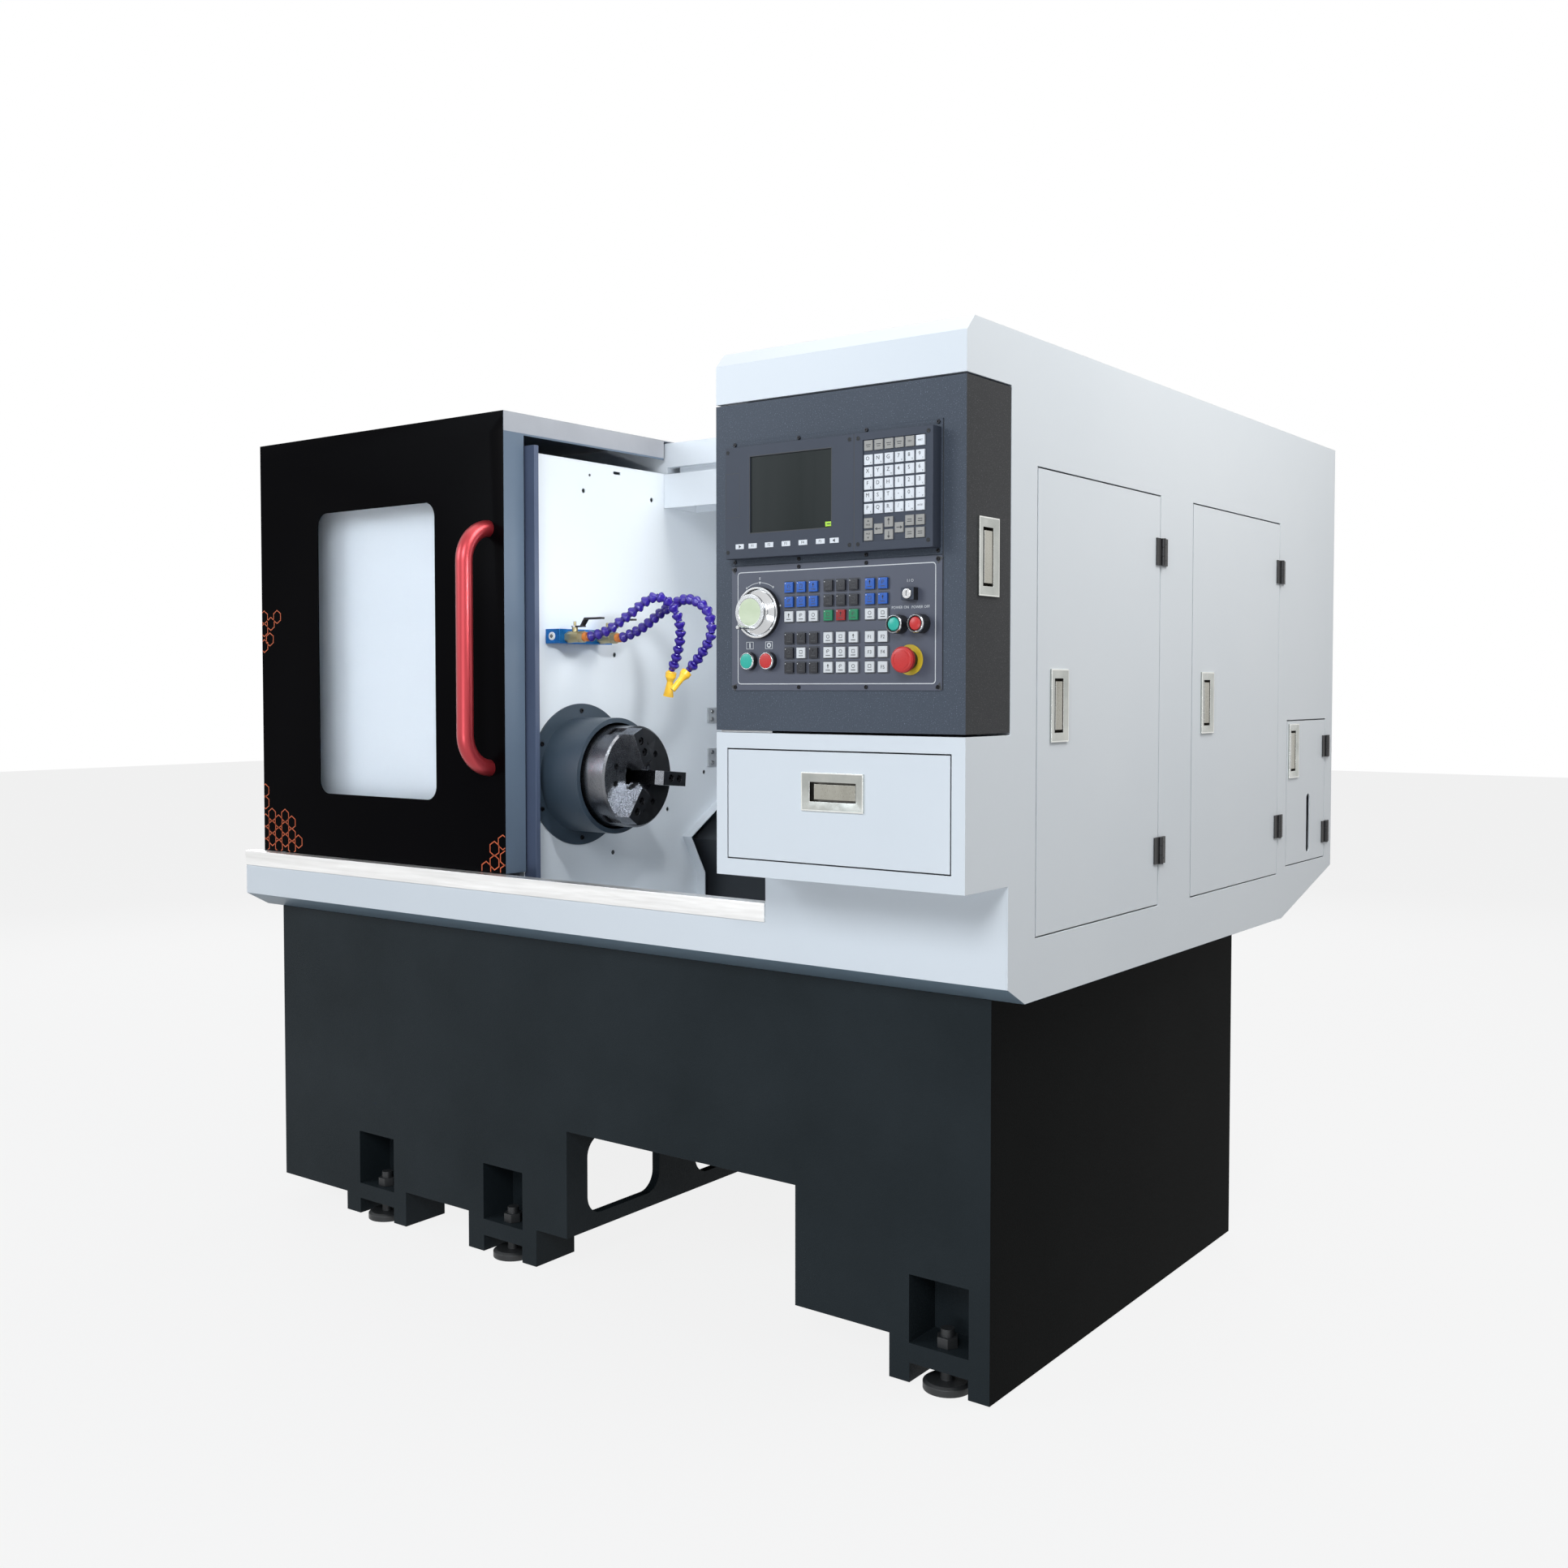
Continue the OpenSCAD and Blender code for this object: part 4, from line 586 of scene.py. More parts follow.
def bezelTone(spot, normal):
    nearest = min(switches, key=lambda name: awayFrom(spot, name))
    far = awayFrom(spot, nearest)
    if nearest == "lock":
        return "bezel_plastic" if normal.y < -0.5 and spot.y < -10 else "lever_black"
    if nearest == "estop":
        return "lever_black"
    if nearest == "wheel":
        return "lever_black" if far > 41 and spot.y > -9 else "ring_chrome"
    proud = 12 if nearest in ("start", "stop") else 22
    return "ring_chrome" if spot.y < -proud + 2.2 and far > 11.5 else "lever_black"


def wheelTone(spot, normal):
    if awayFrom(spot, "wheel") < 22 and -30.2 < spot.y < -29.2:
        return "dial_cream"
    return "ring_chrome" if spot.y > -16 else "wheel_steel"


# the chuck's front face is painted: a highlight inside the highlight arc, a dark reflection elsewhere
def chuckReflectionTone(spot, normal):
    if normal.x < 0.8 or spot.x < 0:
        return "chuck_steel"
    angle = math.degrees(math.atan2(spot.z - spindle[1], spot.y - spindle[0])) % 360
    return "bright_face" if highlightArc[0] < angle < highlightArc[1] else "black_face"


# jaw front faces get painted dark reflection, their other faces the painted highlight
def jawReflectionTone(spot, normal):
    return "jaw_steel" if normal.x > 0.7 else "bright_face"


spindle = (376, 1000)     # y and z of the axis
highlightArc = (115, 235)     # degrees about it where the face gets a painted highlight
roofHeight = 1700     # the door's roof leg keeps bare metal above this
pad = {"columns": [841.4 + 18.7 * i for i in range(6)],
       "rows": [1554.5, 1532.7, 1513.8, 1495, 1476.6, 1457.7, 1436, 1417]}
panel = {"columns": [520 + c for c in (154.6, 178.8, 203, 231.9, 256.1, 280.3, 311, 335.2)],
         "rows": [1345, 1321.5, 1298, 1262.8, 1239.3, 1215.8],
         "colours": ["bbbkkkbb", "bbbkkkbb", "wwwgrgww", "kkkwwwww", "kwkwwwww", "kkkwwwww"]}
switches = {"wheel": (613.5, 1306), "start": (594, 1227), "stop": (633.8, 1227),
            "power_on": (886.2, 1280.5), "power_off": (925, 1280.5), "estop": (903.3, 1226),
            "lock": (905.8, 1326.5)}

editing(made["door_shell"])
bpy.ops.mesh.select_all(action="SELECT")
bpy.ops.mesh.bisect(plane_co=mm(0, 0, roofHeight), plane_no=(0, 0, 1))
done()

# the chuck face is halved along its jaw slots so that one sector gets a painted highlight and the others a painted
# dark reflection
for angle in highlightArc:
    turn = math.radians(angle)
    editing(made["chuck_body"])
    pick(made["chuck_body"], "FACE", lambda f: f.normal.x > 0.9 and machine(f.center).x > 0)
    bpy.ops.mesh.bisect(plane_co=mm(5, *spindle), plane_no=(0, -math.sin(turn), math.cos(turn)))
    done()

paint(made["door_shell"], ["door_black", "flange_paint", "leg_silver"], doorTone)
# the base's right-hand side faces get the darker copy as painted shade
paint(made["base_casting"], ["base_black", "base_side"],
      lambda spot, normal: "base_side" if normal.x > 0.7 and spot.x > 900 else "base_black")
for node in ("chip_tray", "right_housing", "left_housing"):
    paint(made[node], ["white_paint", "bevel_paint"], trayShadeTone)
paint(made["keypad_unit"], ["bezel_plastic", "pad_white", "pad_beige"], keyTone, largest=0.0004)
paint(made["panel_keys"], ["key_blue", "key_black", "key_plastic", "key_green", "key_red"], panelKeyTone)
paint(made["switch_bezels"], ["ring_chrome", "lever_black", "bezel_plastic"], bezelTone)
paint(made["handwheel"], ["wheel_steel", "ring_chrome", "dial_cream"], wheelTone)
paint(made["chuck_body"], ["chuck_steel", "bright_face", "black_face"], chuckReflectionTone)
for node in ("jaw_1", "jaw_2", "jaw_3"):
    paint(made[node], ["jaw_steel", "bright_face"], jawReflectionTone)
paint(made["hose_fittings"], ["fitting_plastic", "nozzle_yellow"],
      lambda spot, normal: "nozzle_yellow" if spot.z < 1255 else "fitting_plastic")
for node in ("side_door_front", "side_door_middle", "side_door_rear"):
    paint(made[node], ["white_paint", "hinge_black"],
          lambda spot, normal: "hinge_black" if spot.x > 1000.6 else "white_paint")
for node in ("valve_lever_1", "valve_lever_2"):
    paint(made[node], ["lever_black", "pivot_steel"],
          lambda spot, normal: "pivot_steel" if spot.x < -88 else "lever_black")
# the box's right-hand side faces get the darker copy as painted shade
paint(made["control_housing"], ["box_grey", "box_side"],
      lambda spot, normal: "box_side" if normal.x > 0.6 and spot.x > 995 else "box_grey")


def fanMouth():
    piece = made["hose_fittings"]
    neck, tip = Vector((82.5, 386.6, 1193)), Vector((75, 390, 1166))
    for corner in piece.data.vertices:
        spot = machine(corner.co)
        down = (neck.z - spot.z) / (neck.z - tip.z)
        axis = neck.lerp(tip, down)
        if down > 0 and abs(spot.x - axis.x) < 12 and abs(spot.y - axis.y) < 12:
            down = min(down, 1)
            corner.co += Vector(((spot.x - axis.x) * 0.5 * down, (axis.y - spot.y) * 0.5 * down, 0)) / 1000


fanMouth()
print("two-tone nodes painted")


# small parts that repeat

def turned(name, rings, sides=32):
    bpy.ops.object.select_all(action="DESELECT")
    bpy.ops.mesh.primitive_circle_add(vertices=sides, radius=rings[0][0] / 1000, fill_type="NGON",
                                      location=(0, 0, rings[0][1] / 1000))
    piece = settle(bpy.context.active_object)
    piece.name = name
    bpy.ops.object.mode_set(mode="EDIT")
    bpy.ops.mesh.select_mode(type="FACE")
    bpy.ops.mesh.select_all(action="SELECT")
    radius, height = rings[0]
    for nextRadius, nextHeight in rings[1:]:
        extruded((0, 0, (nextHeight - height) / 1000))
        part = nextRadius / radius
        bpy.ops.transform.resize(value=(part, part, 1), center_override=(0, 0, nextHeight / 1000))
        radius, height = nextRadius, nextHeight
    closed()
    return piece


def facing(piece, place, direction, spin=0):
    spun = Matrix.Rotation(math.radians(spin), 3, "Z").to_quaternion()
    turn = Vector(direction).to_track_quat("Z", "Y") @ spun
    piece.data.transform(turn.to_matrix().to_4x4())
    piece.data.transform(Matrix.Translation(mm(*place)))
    return piece


def capScrew(name, head):
    r, h = head["r"], head["h"]
    screw = turned(name, [(r * 0.94, 0), (r, 0.1), (r, h * 0.75), (r * 0.86, h)], 24)
    bpy.ops.object.select_all(action="DESELECT")
    bpy.ops.mesh.primitive_cylinder_add(vertices=6, radius=head["hex"] / 1000, depth=h * 1.4 / 1000,
                                        location=(0, 0, h / 1000))
    cut(screw, bpy.context.active_object)
    return smooth(screw, 40)


def screwsAt(name, head, places, direction, body, look="screw_black"):
    master = capScrew(name + "_master", head)
    copies = []
    for number, place in enumerate(places):
        copies.append(facing(twin(master, (0, 0, 0), f"{name}_{number}"), place, direction, number * 23))
    bpy.data.objects.remove(master)
    fitted(joined(copies, name), look, body)


def block(name, x, y, z, edge=0.5, segments=2):
    middle = [(a[0] + a[1]) / 2 for a in (x, y, z)]
    piece = cube(mm(*middle), [(a[1] - a[0]) / 1000 for a in (x, y, z)])
    piece.name = name
    bpy.ops.object.mode_set(mode="EDIT")
    bpy.ops.mesh.select_all(action="SELECT")
    bpy.ops.mesh.bevel(offset=edge / 1000, segments=segments, affect="EDGES")
    done()
    return piece


def frontSheet(name, x, z, y, corner=0):
    bpy.ops.object.select_all(action="DESELECT")
    bpy.ops.mesh.primitive_plane_add(size=1, rotation=(math.pi / 2, 0, 0),
                                     location=mm((x[0] + x[1]) / 2, y, (z[0] + z[1]) / 2))
    piece = bpy.context.active_object
    piece.scale = ((x[1] - x[0]) / 1000, (z[1] - z[0]) / 1000, 1)
    settle(piece)
    piece.name = name
    bpy.ops.object.mode_set(mode="EDIT")
    bpy.ops.mesh.select_all(action="SELECT")
    if corner:
        bpy.ops.mesh.bevel(offset=corner / 1000, segments=6, affect="VERTICES")
    return piece


def thicken(piece, thick):
    bpy.ops.mesh.select_all(action="SELECT")
    extruded((0, -thick / 1000, 0))
    closed()
    return piece


def outline(name, x, z, y, corner, width, thick=0.25):
    piece = frontSheet(name, x, z, y, corner)
    bpy.ops.mesh.select_mode(type="FACE")
    bpy.ops.mesh.select_all(action="SELECT")
    bpy.ops.mesh.inset(thickness=width / 1000)
    bpy.ops.mesh.delete(type="FACE")
    return thicken(piece, thick)


def arc(name, x, z, y, radius, width, start, end, thick=0.25, sides=96):
    bpy.ops.object.select_all(action="DESELECT")
    bpy.ops.mesh.primitive_circle_add(vertices=sides, radius=radius / 1000, fill_type="NGON",
                                      rotation=(math.pi / 2, 0, 0), location=mm(x, y, z))
    piece = settle(bpy.context.active_object)
    piece.name = name
    bpy.ops.object.mode_set(mode="EDIT")
    bpy.ops.mesh.select_mode(type="FACE")
    bpy.ops.mesh.select_all(action="SELECT")
    bpy.ops.mesh.inset(thickness=width / 1000)
    bpy.ops.mesh.delete(type="FACE")

    def outside(face):
        spot = machine(face.center)
        angle = math.degrees(math.atan2(spot.z - z, spot.x - x)) % 360
        return not start <= angle <= end
    pick(piece, "FACE", outside)
    bpy.ops.mesh.select_mode(type="FACE")
    bpy.ops.mesh.delete(type="FACE")
    return thicken(piece, thick)


def disc(name, x, z, y, radius, sides=20, thick=0.25, spin=0):
    bpy.ops.object.select_all(action="DESELECT")
    bpy.ops.mesh.primitive_circle_add(vertices=sides, radius=radius / 1000, fill_type="NGON",
                                      rotation=(math.pi / 2, math.radians(spin), 0), location=mm(x, y, z))
    piece = settle(bpy.context.active_object)
    piece.name = name
    bpy.ops.object.mode_set(mode="EDIT")
    return thicken(piece, thick)


def bar(name, x, z, y, width, height, thick=0.25):
    piece = frontSheet(name, (x - width / 2, x + width / 2), (z - height / 2, z + height / 2), y)
    return thicken(piece, thick)


def legend(words, x, y, z, height, wide=1.0):
    bpy.ops.object.select_all(action="DESELECT")
    bpy.ops.object.text_add(location=(0, 0, 0))
    letters = bpy.context.active_object
    letters.data.body = words
    letters.data.size = height / 0.7 / 1000
    letters.data.align_x = "CENTER"
    letters.data.align_y = "CENTER"
    letters.data.resolution_u = 2
    letters.data.extrude = 0.00008
    bpy.ops.object.convert(target="MESH")
    letters.data.transform(Matrix.Diagonal((wide, 1, 1, 1)))
    letters.data.transform(Matrix.Rotation(math.pi / 2, 4, "X"))
    letters.data.transform(Matrix.Translation(mm(x, y, z)))
    letters.name = "legend"
    return letters


def marks(name, parts, look, body):
    fitted(joined(parts, name), look, body)


# control box: mounting plates, screen and keypad

# y of each surface that carries markings, in mm
level = {"boxFront": -0.02, "gusset": -1.95, "plate": -1.98, "plateText": -2.1, "lamp": -5.95, "key": -5.98,
         "keyText": -6.08, "status": -24.58, "plug": -24.95, "screen": -24.98, "keypad": -25.5,
         "keypadText": -25.58, "softKey": -26.2, "softKeyText": -26.26, "stopCap": -29.0}

mounting = {"x": (555, 960), "upper": (1384.5, 1588.5), "screws": (562.2, 692.5, 822.5, 952.7),
            "rows": (1583, 1390, 1377.7, 1184.4), "screw": {"r": 3.1, "h": 2.0, "hex": 1.4}}


def mountingPlates():
    plate = block("upper_plate", mounting["x"], (-2, 0.2), mounting["upper"], 0.6)
    pick(plate, "FACE", lambda f: f.normal.y < -0.9)
    bpy.ops.mesh.inset(thickness=0.0012, depth=-0.0003)
    done()
    fitted(smooth(plate), "box_grey", "control_box")
    places = [(x, -2, z) for x in mounting["screws"] for z in mounting["rows"]]
    screwsAt("plate_screws", mounting["screw"], places, toFront, "control_box")
    corners = []
    for x, side in ((557, 1), (958, -1)):
        for z, up in ((1381, -1), (1181, 1)):
            spin = 45 + 90 * up if side < 0 else 45
            corners.append(disc("gusset", x + side * 3.4, z + up * 3.4, level["gusset"], 7.5, 3, 0.3,
                                spin))
    marks("plate_corners", corners, "ink_dark", "control_box")


screen = {"corners": [(565.3, 1567), (806.3, 1567), (565.3, 1404.6), (806.3, 1404.6),
                      (822.2, 1567), (949, 1567), (822.2, 1404.6), (949, 1404.6)],
          "lcd": (611, 771.5, 1434.5, 1557), "slot": (560.6, 589.5, 1461, 1533),
          "keys": (590.4, 617, 650.6, 684.2, 717.7, 751.5, 778.2), "keyZ": 1413.2, "keySize": (17, 8.2)}


def screenDetails():
    plugs = [disc("plug", x, z, level["plug"], 3.4, 20, 0.35) for x, z in screen["corners"]]
    # the screen plugs take the darker grey of the box's painted-shade side as their own dark colour
    marks("screen_plugs", plugs, "box_side", "control_box")
    x0, x1, z0, z1 = screen["slot"]
    flat = level["screen"]
    lines = [outline("slot_door", (x0, x1), (z0, z1), flat, 0, 0.7, 0.12)]
    x0, x1, z0, z1 = screen["lcd"]
    lines.append(outline("lcd_edge", (x0 - 1.4, x1 + 1.4), (z0 - 1.4, z1 + 1.4), flat, 1, 1.3, 0.15))
    lines.append(bar("unit_joint", 815, 1484.5, flat, 1.2, 180, 0.12))
    marks("screen_lines", lines, "ink_dark", "control_box")
    # a dark strip on the box front at the plate's right edge stands for the gap's shadow: painted shadow
    gap = bar("plate_gap_painted_shadow", 959.6, 1383.5, level["boxFront"], 2.6, 405, 0.15)
    marks("plate_gap_painted_shadow", [gap], "ink_dark", "control_box")
    lime = block("status_key", (760, 773.2), (-24.6, -22.2), (1435.9, 1443.3), 0.4)
    fitted(smooth(lime), "lime", "control_box")
    mark = bar("status_mark", 766.6, 1439.6, level["status"], 7.5, 1.5, 0.1)
    keys, names = [], []
    middle = screen["keyZ"]
    width, height = screen["keySize"]
    for number, x in enumerate(screen["keys"]):
        keys.append(block("soft_key", (x - width / 2, x + width / 2), (level["softKey"], -24.8),
                          (middle - height / 2, middle + height / 2)))
        if 0 < number < 6:
            names.append(legend(f"F{number}", x, level["softKeyText"], middle, 4.2))
        else:
            names.append(disc("way", x, middle, level["softKey"], 3.2, 3, 0.1, -90 if number else 90))
    soft = joined(keys, "soft_keys")
    fitted(smooth(soft), "pad_white", "control_box")
    marks("soft_key_legends", names + [mark], "ink_dark", "control_box")


legends = {"rows": [["", "", "", "", "HELP", "RESET"], "ONG789", "XYZ456", "FDH123", "MST-0.",
                    ["P", "Q", "R", "/", ";", "ENTER"]],
           "small": ["", "ABCDEF", "UVWIJK", "EKLLTC", "ABJKL#", "EIRNW"]}


def keypadLegends():
    words = []
    flat, text = level["keypad"], level["keypadText"]
    for row, names in enumerate(legends["rows"]):
        for column, name in enumerate(names):
            x, z = pad["columns"][column], pad["rows"][row]
            if not name:
                words.append(bar("mark", x, z + 1, flat, 8.5, 1.1, 0.1))
                words.append(bar("mark", x, z - 2, flat, 6.5, 0.9, 0.1))
            elif len(name) > 1:
                words.append(legend(name, x, text, z, 2.5, 0.85))
            else:
                words.append(legend(name, x - 1.2, text, z + 1.7, 6.0))
                extra = legends["small"][row]
                if column < len(extra):
                    words.append(legend(extra[column], x + 4.6, text, z - 4.8, 2.3))
    x, z = pad["columns"], pad["rows"]
    lastRows = ((6, 1, 0), (7, -1, 180))
    for row, sign, spin in lastRows:
        words.append(legend("PAGE", x[0], text, z[row] - 2.6 * sign, 2.6, 0.9))
        words.append(disc("page_way", x[0], z[row] + 3.2 * sign, flat, 2.0, 3, 0.1, spin))
    for row, sign, spin in lastRows:
        words.append(bar("stem", x[2], z[row] - 0.8 * sign, flat, 1.2, 7.5, 0.1))
        words.append(disc("tip", x[2], z[row] + 3.6 * sign, flat, 2.9, 3, 0.1, spin))
    middle = (z[6] + z[7]) / 2
    for column, sign in ((1, -1), (3, 1)):
        words.append(bar("stem", x[column] - 0.8 * sign, middle, flat, 7.5, 1.2, 0.1))
        words.append(disc("tip", x[column] + 3.6 * sign, middle, flat, 2.9, 3, 0.1, 90 * sign))
    for column in (4, 5):
        for row in (6, 7):
            for rise in (1.4, -1.8):
                words.append(bar("mark", x[column], z[row] + rise, flat, 8, 1.1, 0.1))
    marks("keypad_legends", words, "ink_dark", "control_box")


mountingPlates()
screenDetails()
keypadLegends()
print("screen and keypad dressed")


# operator plate

numbered = {(3, 6): "F1", (3, 7): "F2", (4, 6): "F3", (4, 7): "F4", (5, 7): "F5"}


def icon(kind, x, z):
    flat, middle = level["key"], x + 0.4
    if kind == 0:
        shapes = [arc("icon", middle, z + 1.6, flat, 3.1, 0.8, 0, 360, 0.12, 20)]
    elif kind == 1:
        shapes = [outline("icon", (x - 2.6, x + 3.4), (z - 1.2, z + 4.4), flat, 0, 0.8, 0.12)]
    elif kind == 2:
        shapes = [bar("icon", middle, z + 1.6, flat, 1.2, 6.4, 0.12),
                  disc("icon", middle, z + 3.2, flat, 2.4, 3, 0.12)]
    else:
        shapes = [arc("icon", middle, z + 1.6, flat, 3.1, 0.9, 20, 250, 0.12, 20),
                  bar("icon", middle, z + 1.6, flat, 3.4, 0.9, 0.12)]
    return shapes + [bar("icon_line", middle, z - 4.6, flat, 8.6, 1.2, 0.12)]


def panelLegends():
    dark, dots = [], []
    for row, z in enumerate(panel["rows"]):
        for column, x in enumerate(panel["columns"]):
            dots.append(disc("lamp", x - 6.3, z + 6.3, level["lamp"], 0.8, 12))
            if (row, column) in numbered:
                dark.append(legend(numbered[row, column], x + 0.6, level["keyText"], z - 0.6, 5.6))
            else:
                dark += icon((row * 3 + column * 5) % 4, x, z)
    marks("panel_icons", dark, "ink_dark", "control_box")
    marks("panel_lamps", dots, "ink_pale", "control_box")

    x, z = switches["wheel"]
    flat, text = level["plate"], level["plateText"]
    pale = [outline("plate_line", (567.3, 949), (1189, 1373.4), flat, 6, 1.4, 0.15),
            arc("wheel_arc", x, z, flat, 49.4, 0.9, 58, 85, 0.15),
            arc("wheel_arc", x, z, flat, 49.4, 0.9, 95, 122, 0.15)]
    for sign in (-1, 1):
        turn = math.radians(90 - 33.5 * sign)
        pale.append(disc("arc_tip", x + 49 * math.cos(turn), z + 49 * math.sin(turn), flat, 2.2, 4, 0.15,
                         12 * sign))
    pale += [disc("wheel_pointer", x, z + 49, flat, 3.2, 3, 0.15, 180),
             disc("wheel_dot", 655.1, 1316.6, flat, 1.5, 16, 0.15),
             legend("0", x, text, z + 55.5, 4.6)]
    for x in (592.8, 632.1):
        pale.append(outline("mark_box", (x - 7.4, x + 7.4), (1246.7, 1258.7), flat, 0.8, 0.8, 0.15))
    pale += [bar("on_mark", 592.8, 1252.7, flat, 2.6, 8.4, 0.15),
             arc("off_mark", 632.1, 1252.7, flat, 4.2, 2.0, 0, 360, 0.15, 24),
             legend("POWER ON", 885.2, text, 1306.4, 4.2, 0.98),
             legend("POWER OFF", 922, text, 1306.2, 4.2, 0.98),
             legend("I / O", 903.3, text, 1346.8, 4.4)]
    marks("plate_markings", pale, "ink_pale", "control_box")
    rims = [outline("key_rim", (x - 10.4, x + 10.4), (z - 10.4, z + 10.4), flat, 1.2, 0.9, 0.3)
            for x in panel["columns"] for z in panel["rows"]]
    marks("key_rims", rims, "ink_dark", "control_box")


def stopButton():
    x, z = switches["estop"]
    rings = [(23.4, 0), (23.5, 0.3), (23.5, 1.2), (23, 1.6), (12.0, 1.6), (11.8, 0.8)]
    ring = turned("estop_ring", rings, 48)
    facing(ring, (x, -2, z), toFront)
    fitted(smooth(ring), "stop_yellow", "control_box")
    arrows = [arc("turn_mark", x, z, level["stopCap"], 14.2, 1.2, 20 + turn, 95 + turn, 0.5, 72)
              for turn in (0, 120, 240)]
    marks("estop_arrows", arrows, "cap_red", "estop_button")


panelLegends()
stopButton()
print("operator plate dressed")


# door: honeycomb lines at the window's edges

comb = {"radius": 16.2, "line": 2.1, "y": 163.0, "limits": (-969.8, -165.2, 808),
        "cells": [(-913.3, 1346), (-937.2, 1330.7), (-962.4, 1346), (-962.4, 1317), (-941.5, 1295),
                  (-962.4, 1280), (-965.2, 945), (-965.2, 917), (-965.2, 875.3), (-965.2, 846.9),
                  (-965.2, 818.6), (-940.7, 889.5), (-940.7, 861.1), (-940.7, 832.7), (-916.2, 875.3),
                  (-916.2, 846.9), (-916.2, 818.5), (-891.7, 889.5), (-891.7, 861.1), (-891.7, 832.7),
                  (-867.2, 875.3), (-867.2, 846.9), (-867.2, 818.5), (-842.7, 832.7), (-196.3, 856),
                  (-196.3, 827.6), (-171.8, 870.2), (-220.8, 813.4), (-166, 838), (-166, 809.6)]}


def honeycomb():
    master = arc("cell", 0, 1000, comb["y"], comb["radius"], comb["line"], 0, 360, 0.25, 6)
    cells = [twin(master, Vector((x, 0, z - 1000)) / 1000, "cell") for x, z in comb["cells"]]
    bpy.data.objects.remove(master)
    piece = joined(cells, "honeycomb_lines")
    left, right, low = comb["limits"]
    sides = (((left, 0, 0), (-1, 0, 0)), ((right, 0, 0), toRight), ((0, 0, low), (0, 0, -1)))
    for place, normal in sides:
        editing(piece)
        bpy.ops.mesh.select_all(action="SELECT")
        bpy.ops.mesh.bisect(plane_co=mm(*place), plane_no=normal, clear_outer=True, use_fill=True)
        done()
    fitted(piece, "orange_line", "sliding_door")


honeycomb()
print("door dressed")


# flush pulls: a raised rim, a sloping frame, a pocket and a sprung flap

flush = {"plate": (62, 120), "height": 3.2, "rim": 2.0, "slope": (13.2, 2.2), "pocket": 12.4,
         "flap": (24.5, 80), "flapThick": 1.6, "flapDrop": 1.9, "highlightEdge": 1.2, "cup": (8.2, 13)}


def flushPull(name, place, frameTurn, shift):
    wide, tall = flush["plate"]
    height = flush["height"]
    plate = cube((0, 0, height / 2000), (wide / 1000, tall / 1000, height / 1000))
    plate.name = name
    editing(plate)
    pick(plate, "FACE", lambda f: f.normal.z < -0.9)
    bpy.ops.mesh.inset(thickness=flush["cup"][0] / 1000)
    extruded((0, 0, -flush["cup"][1] / 1000))
    pick(plate, "FACE", lambda f: f.normal.z > 0.9 and f.center.z > 0.001)
    bpy.ops.mesh.inset(thickness=flush["rim"] / 1000)
    bpy.ops.mesh.inset(thickness=flush["slope"][0] / 1000, depth=-flush["slope"][1] / 1000)
    extruded((0, 0, -flush["pocket"] / 1000))
    closed()
    rounded(plate, 0.35, 2, 25)
    smooth(plate, 40)
    plate.data.materials.clear()
    # the top rim and small frame faces get a painted highlight, the deep pocket painted shade
    for look in ("pull_nickel", "pull_painted_highlight", "nickel_painted_shade"):
        plate.data.materials.append(finishes[look])
    for face in plate.data.polygons:
        inside = abs(face.center.x) < wide / 2000 - 0.01 and abs(face.center.y) < tall / 2000 - 0.01
        deep = inside and face.center.z < (height - flush["slope"][1] - 0.5) / 1000
        rim = face.center.z > (height - 0.3) / 1000 or (inside and not deep and face.area < 0.00015)
        face.material_index = 2 if deep else 1 if rim else 0
    across, along = flush["flap"]
    flap = cube((shift[0] / 1000, shift[1] / 1000, (height - flush["slope"][1] - flush["flapDrop"]) / 1000),
                (across / 1000, along / 1000, flush["flapThick"] / 1000))
    rounded(flap, 0.5, 3)
    smooth(flap, 40)
    flap.data.materials.append(finishes["pull_flap"])
    flap.data.materials.append(finishes["pull_painted_highlight"])
    axis = 0 if shift[0] else 1     # the flap's painted highlight edge is on the side it is shifted from
    end = shift[axis] - flush["flap"][axis] / 2 + flush["highlightEdge"]
    for face in flap.data.polygons:
        face.material_index = 1 if face.center[axis] * 1000 < end else 0
    pull = joined([plate, flap], name)
    pull.data.transform(Matrix(frameTurn).to_4x4())
    pull.data.transform(Matrix.Translation(mm(*place)))
    return pull


boxTurn = ((0, 0, 1), (1, 0, 0), (0, 1, 0))
boxPull = flushPull("box_pull", (1000, 65, 1382.5), boxTurn, (2.2, 0))
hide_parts("control_pull")
mount(boxPull, "control_box")
drawerTurn = ((0, 1, 0), (0, 0, -1), (-1, 0, 0))
drawerPull = flushPull("drawer_pull_made", (757.7, 0, 1016.8), drawerTurn, (0, 3.2))
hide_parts("drawer_pull")
mount(drawerPull, "drawer")
print("pulls made")


# side doors: pulls and hinges

sidePulls = {"side_door_front": (272, 1094), "side_door_middle": (907, 1094), "side_door_rear": (1411, 983)}
sideHinges = [(710, 881), (710, 1434), (1345, 881), (1345, 1434), (1660, 848), (1660, 1048)]


def sideDoorParts():
    for door, (y, z) in sidePulls.items():
        pull = twin(boxPull, Vector((0, y - 34, z - 1322.5)) / 1000, door + "_pull")
        mount(pull, door)
    places = [(1003, y + 16, z + up) for y, z in sideHinges for up in (-15, 15)]
    screwsAt("hinge_screws", {"r": 3.4, "h": 0.8, "hex": 1.5}, places, toRight, "frame")


sideDoorParts()
print("side doors dressed")


# chuck and wall hardware

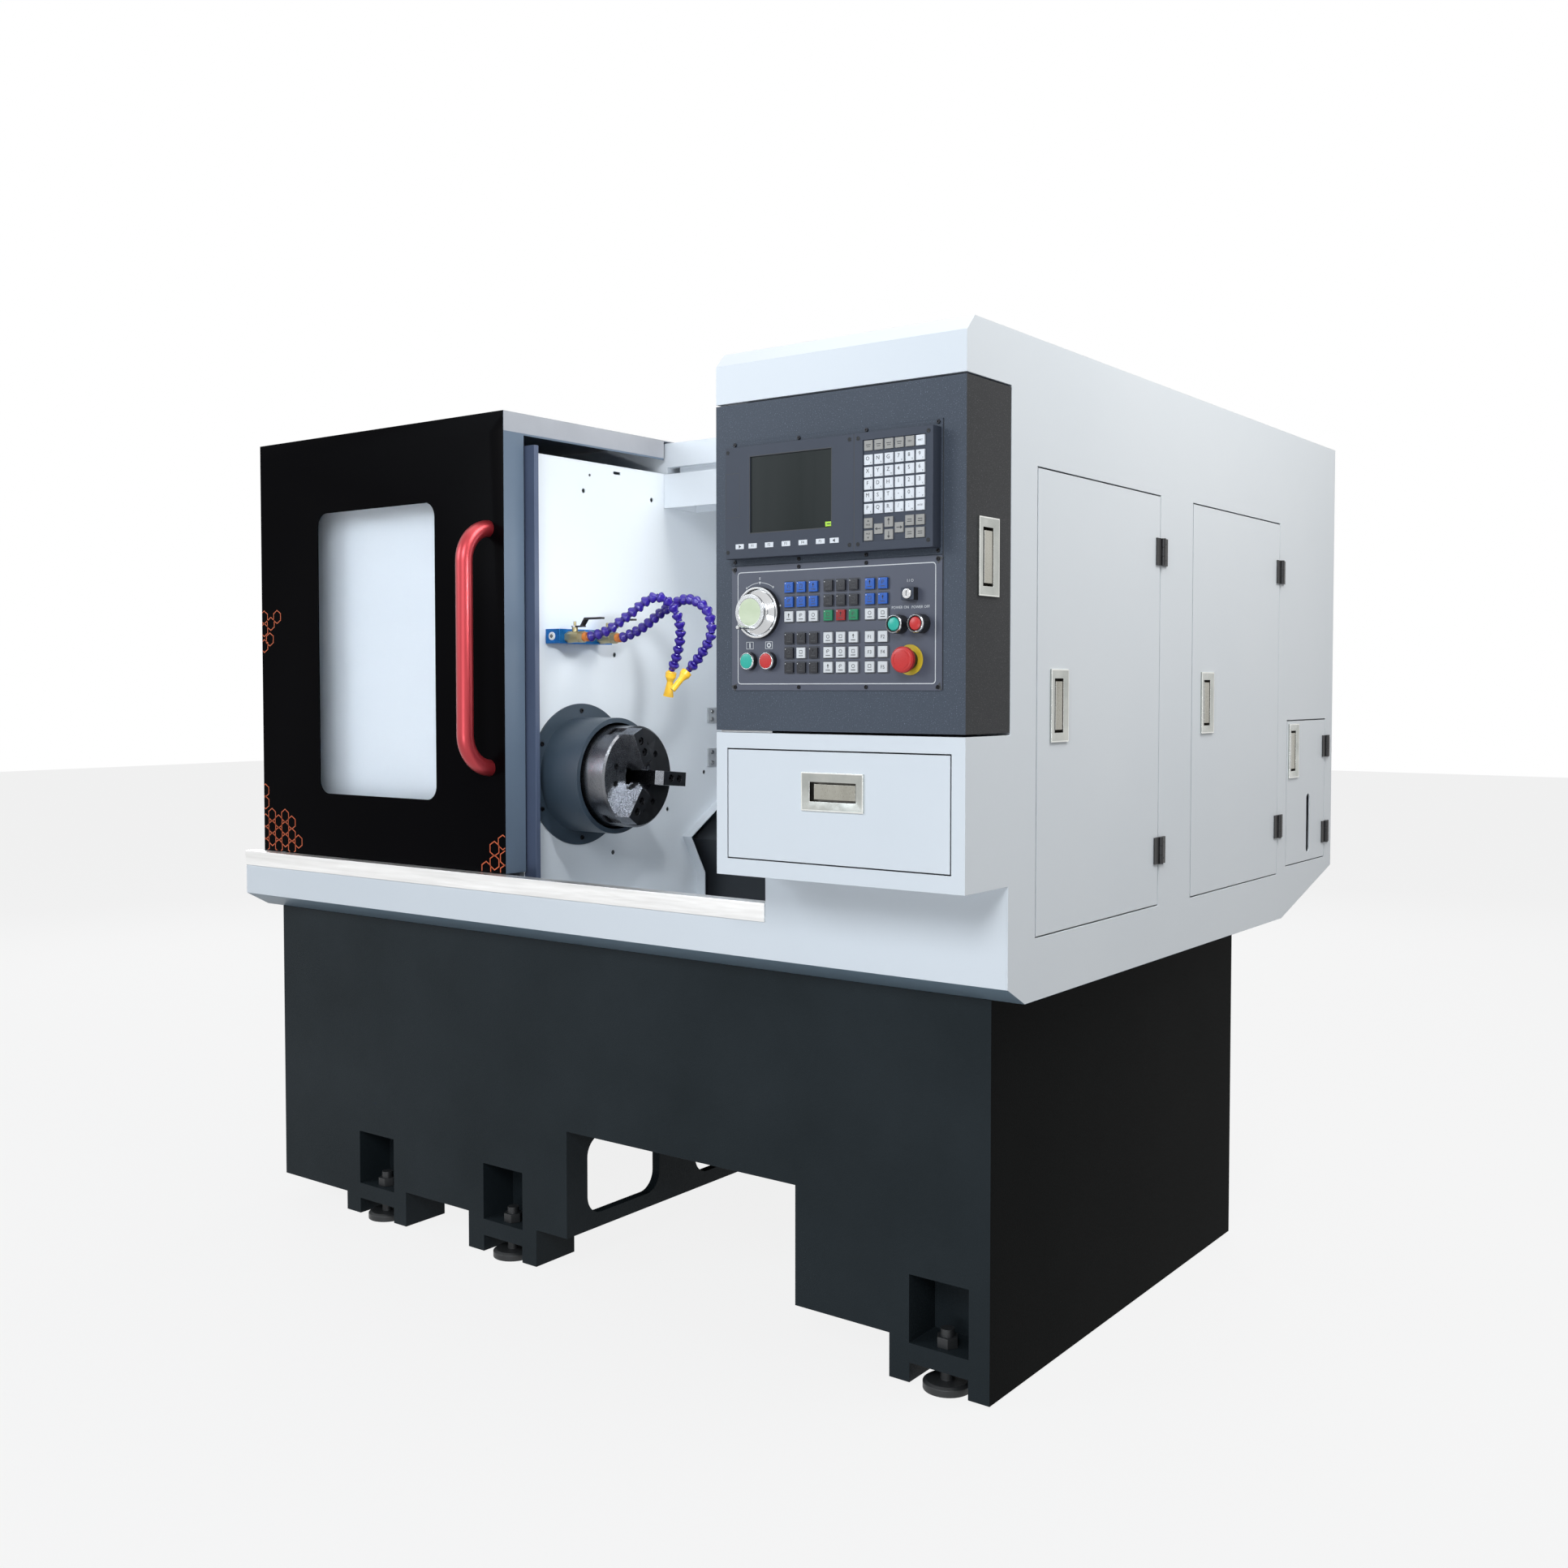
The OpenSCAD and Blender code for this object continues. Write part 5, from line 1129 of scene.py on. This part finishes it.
def around(x, radius, angle):
    turn = math.radians(angle)
    return x, spindle[0] + radius * math.cos(turn), spindle[1] + radius * math.sin(turn)


def screwCircles():
    places = [around(-6.5, 70, angle + side) for angle in (175, 55, -65) for side in (-14.7, 14.7)]
    screwsAt("chuck_screws", {"r": 5.9, "h": 6, "hex": 3.0}, places, toRight, "spindle")
    head = {"r": 7.2, "h": 7, "hex": 3.6}
    for number, angle in enumerate((-5, 115, 235), 1):
        places = [around(34.5, radius, angle) for radius in (58, 83)]
        screwsAt(f"jaw_{number}_screws", head, places, toRight, f"jaw_{number}")
    places = [around(-157.5, 135, angle) for angle in range(90, 450, 60)]
    screwsAt("cover_screws", {"r": 5, "h": 4, "hex": 2.6}, places, toRight, "frame")


def wallBrackets():
    parts, places = [], []
    for z0, z1 in ((1101, 1137), (999, 1042)):
        parts.append(block("bracket", (-160.2, -156), (799, 835), (z0, z1), 0.8))
        places += [(-156, 812, z0 + 9), (-156, 812, z1 - 9)]
    piece = joined(parts, "wall_brackets")
    fitted(smooth(piece), "bracket_silver", "frame")
    head = {"r": 5, "h": 3.2, "hex": 2.4}
    screwsAt("bracket_screws", head, places, toRight, "frame", "spindle_steel")


def wallHoles():
    holes = []
    for y, z, r in ((475.8, 824.8, 5), (757, 857.3, 5), (739.6, 814.9, 5), (764, 770.9, 5), (408, 1636, 3)):
        hole = turned("wall_hole", [(r, 0), (r, 0.25), (r - 0.8, 0.25), (r - 1, 0.1)], 28)
        holes.append(facing(hole, (-160, y, z), toRight))
    piece = joined(holes, "wall_holes")
    fitted(smooth(piece), "ink_dark", "frame")


def manifoldPlug():
    place = (-140, 275, 1290)
    plug = turned("manifold_plug", [(8.2, 0), (8.4, 0.2), (8.4, 2.6), (7.6, 3.2)], 32)
    facing(plug, place, toFront)
    fitted(smooth(plug), "key_plastic", "frame")
    screwsAt("manifold_screw", {"r": 3.6, "h": 4.2, "hex": 1.8}, [place], toFront, "frame")


screwCircles()
wallBrackets()
wallHoles()
manifoldPlug()
print("chuck and wall dressed")
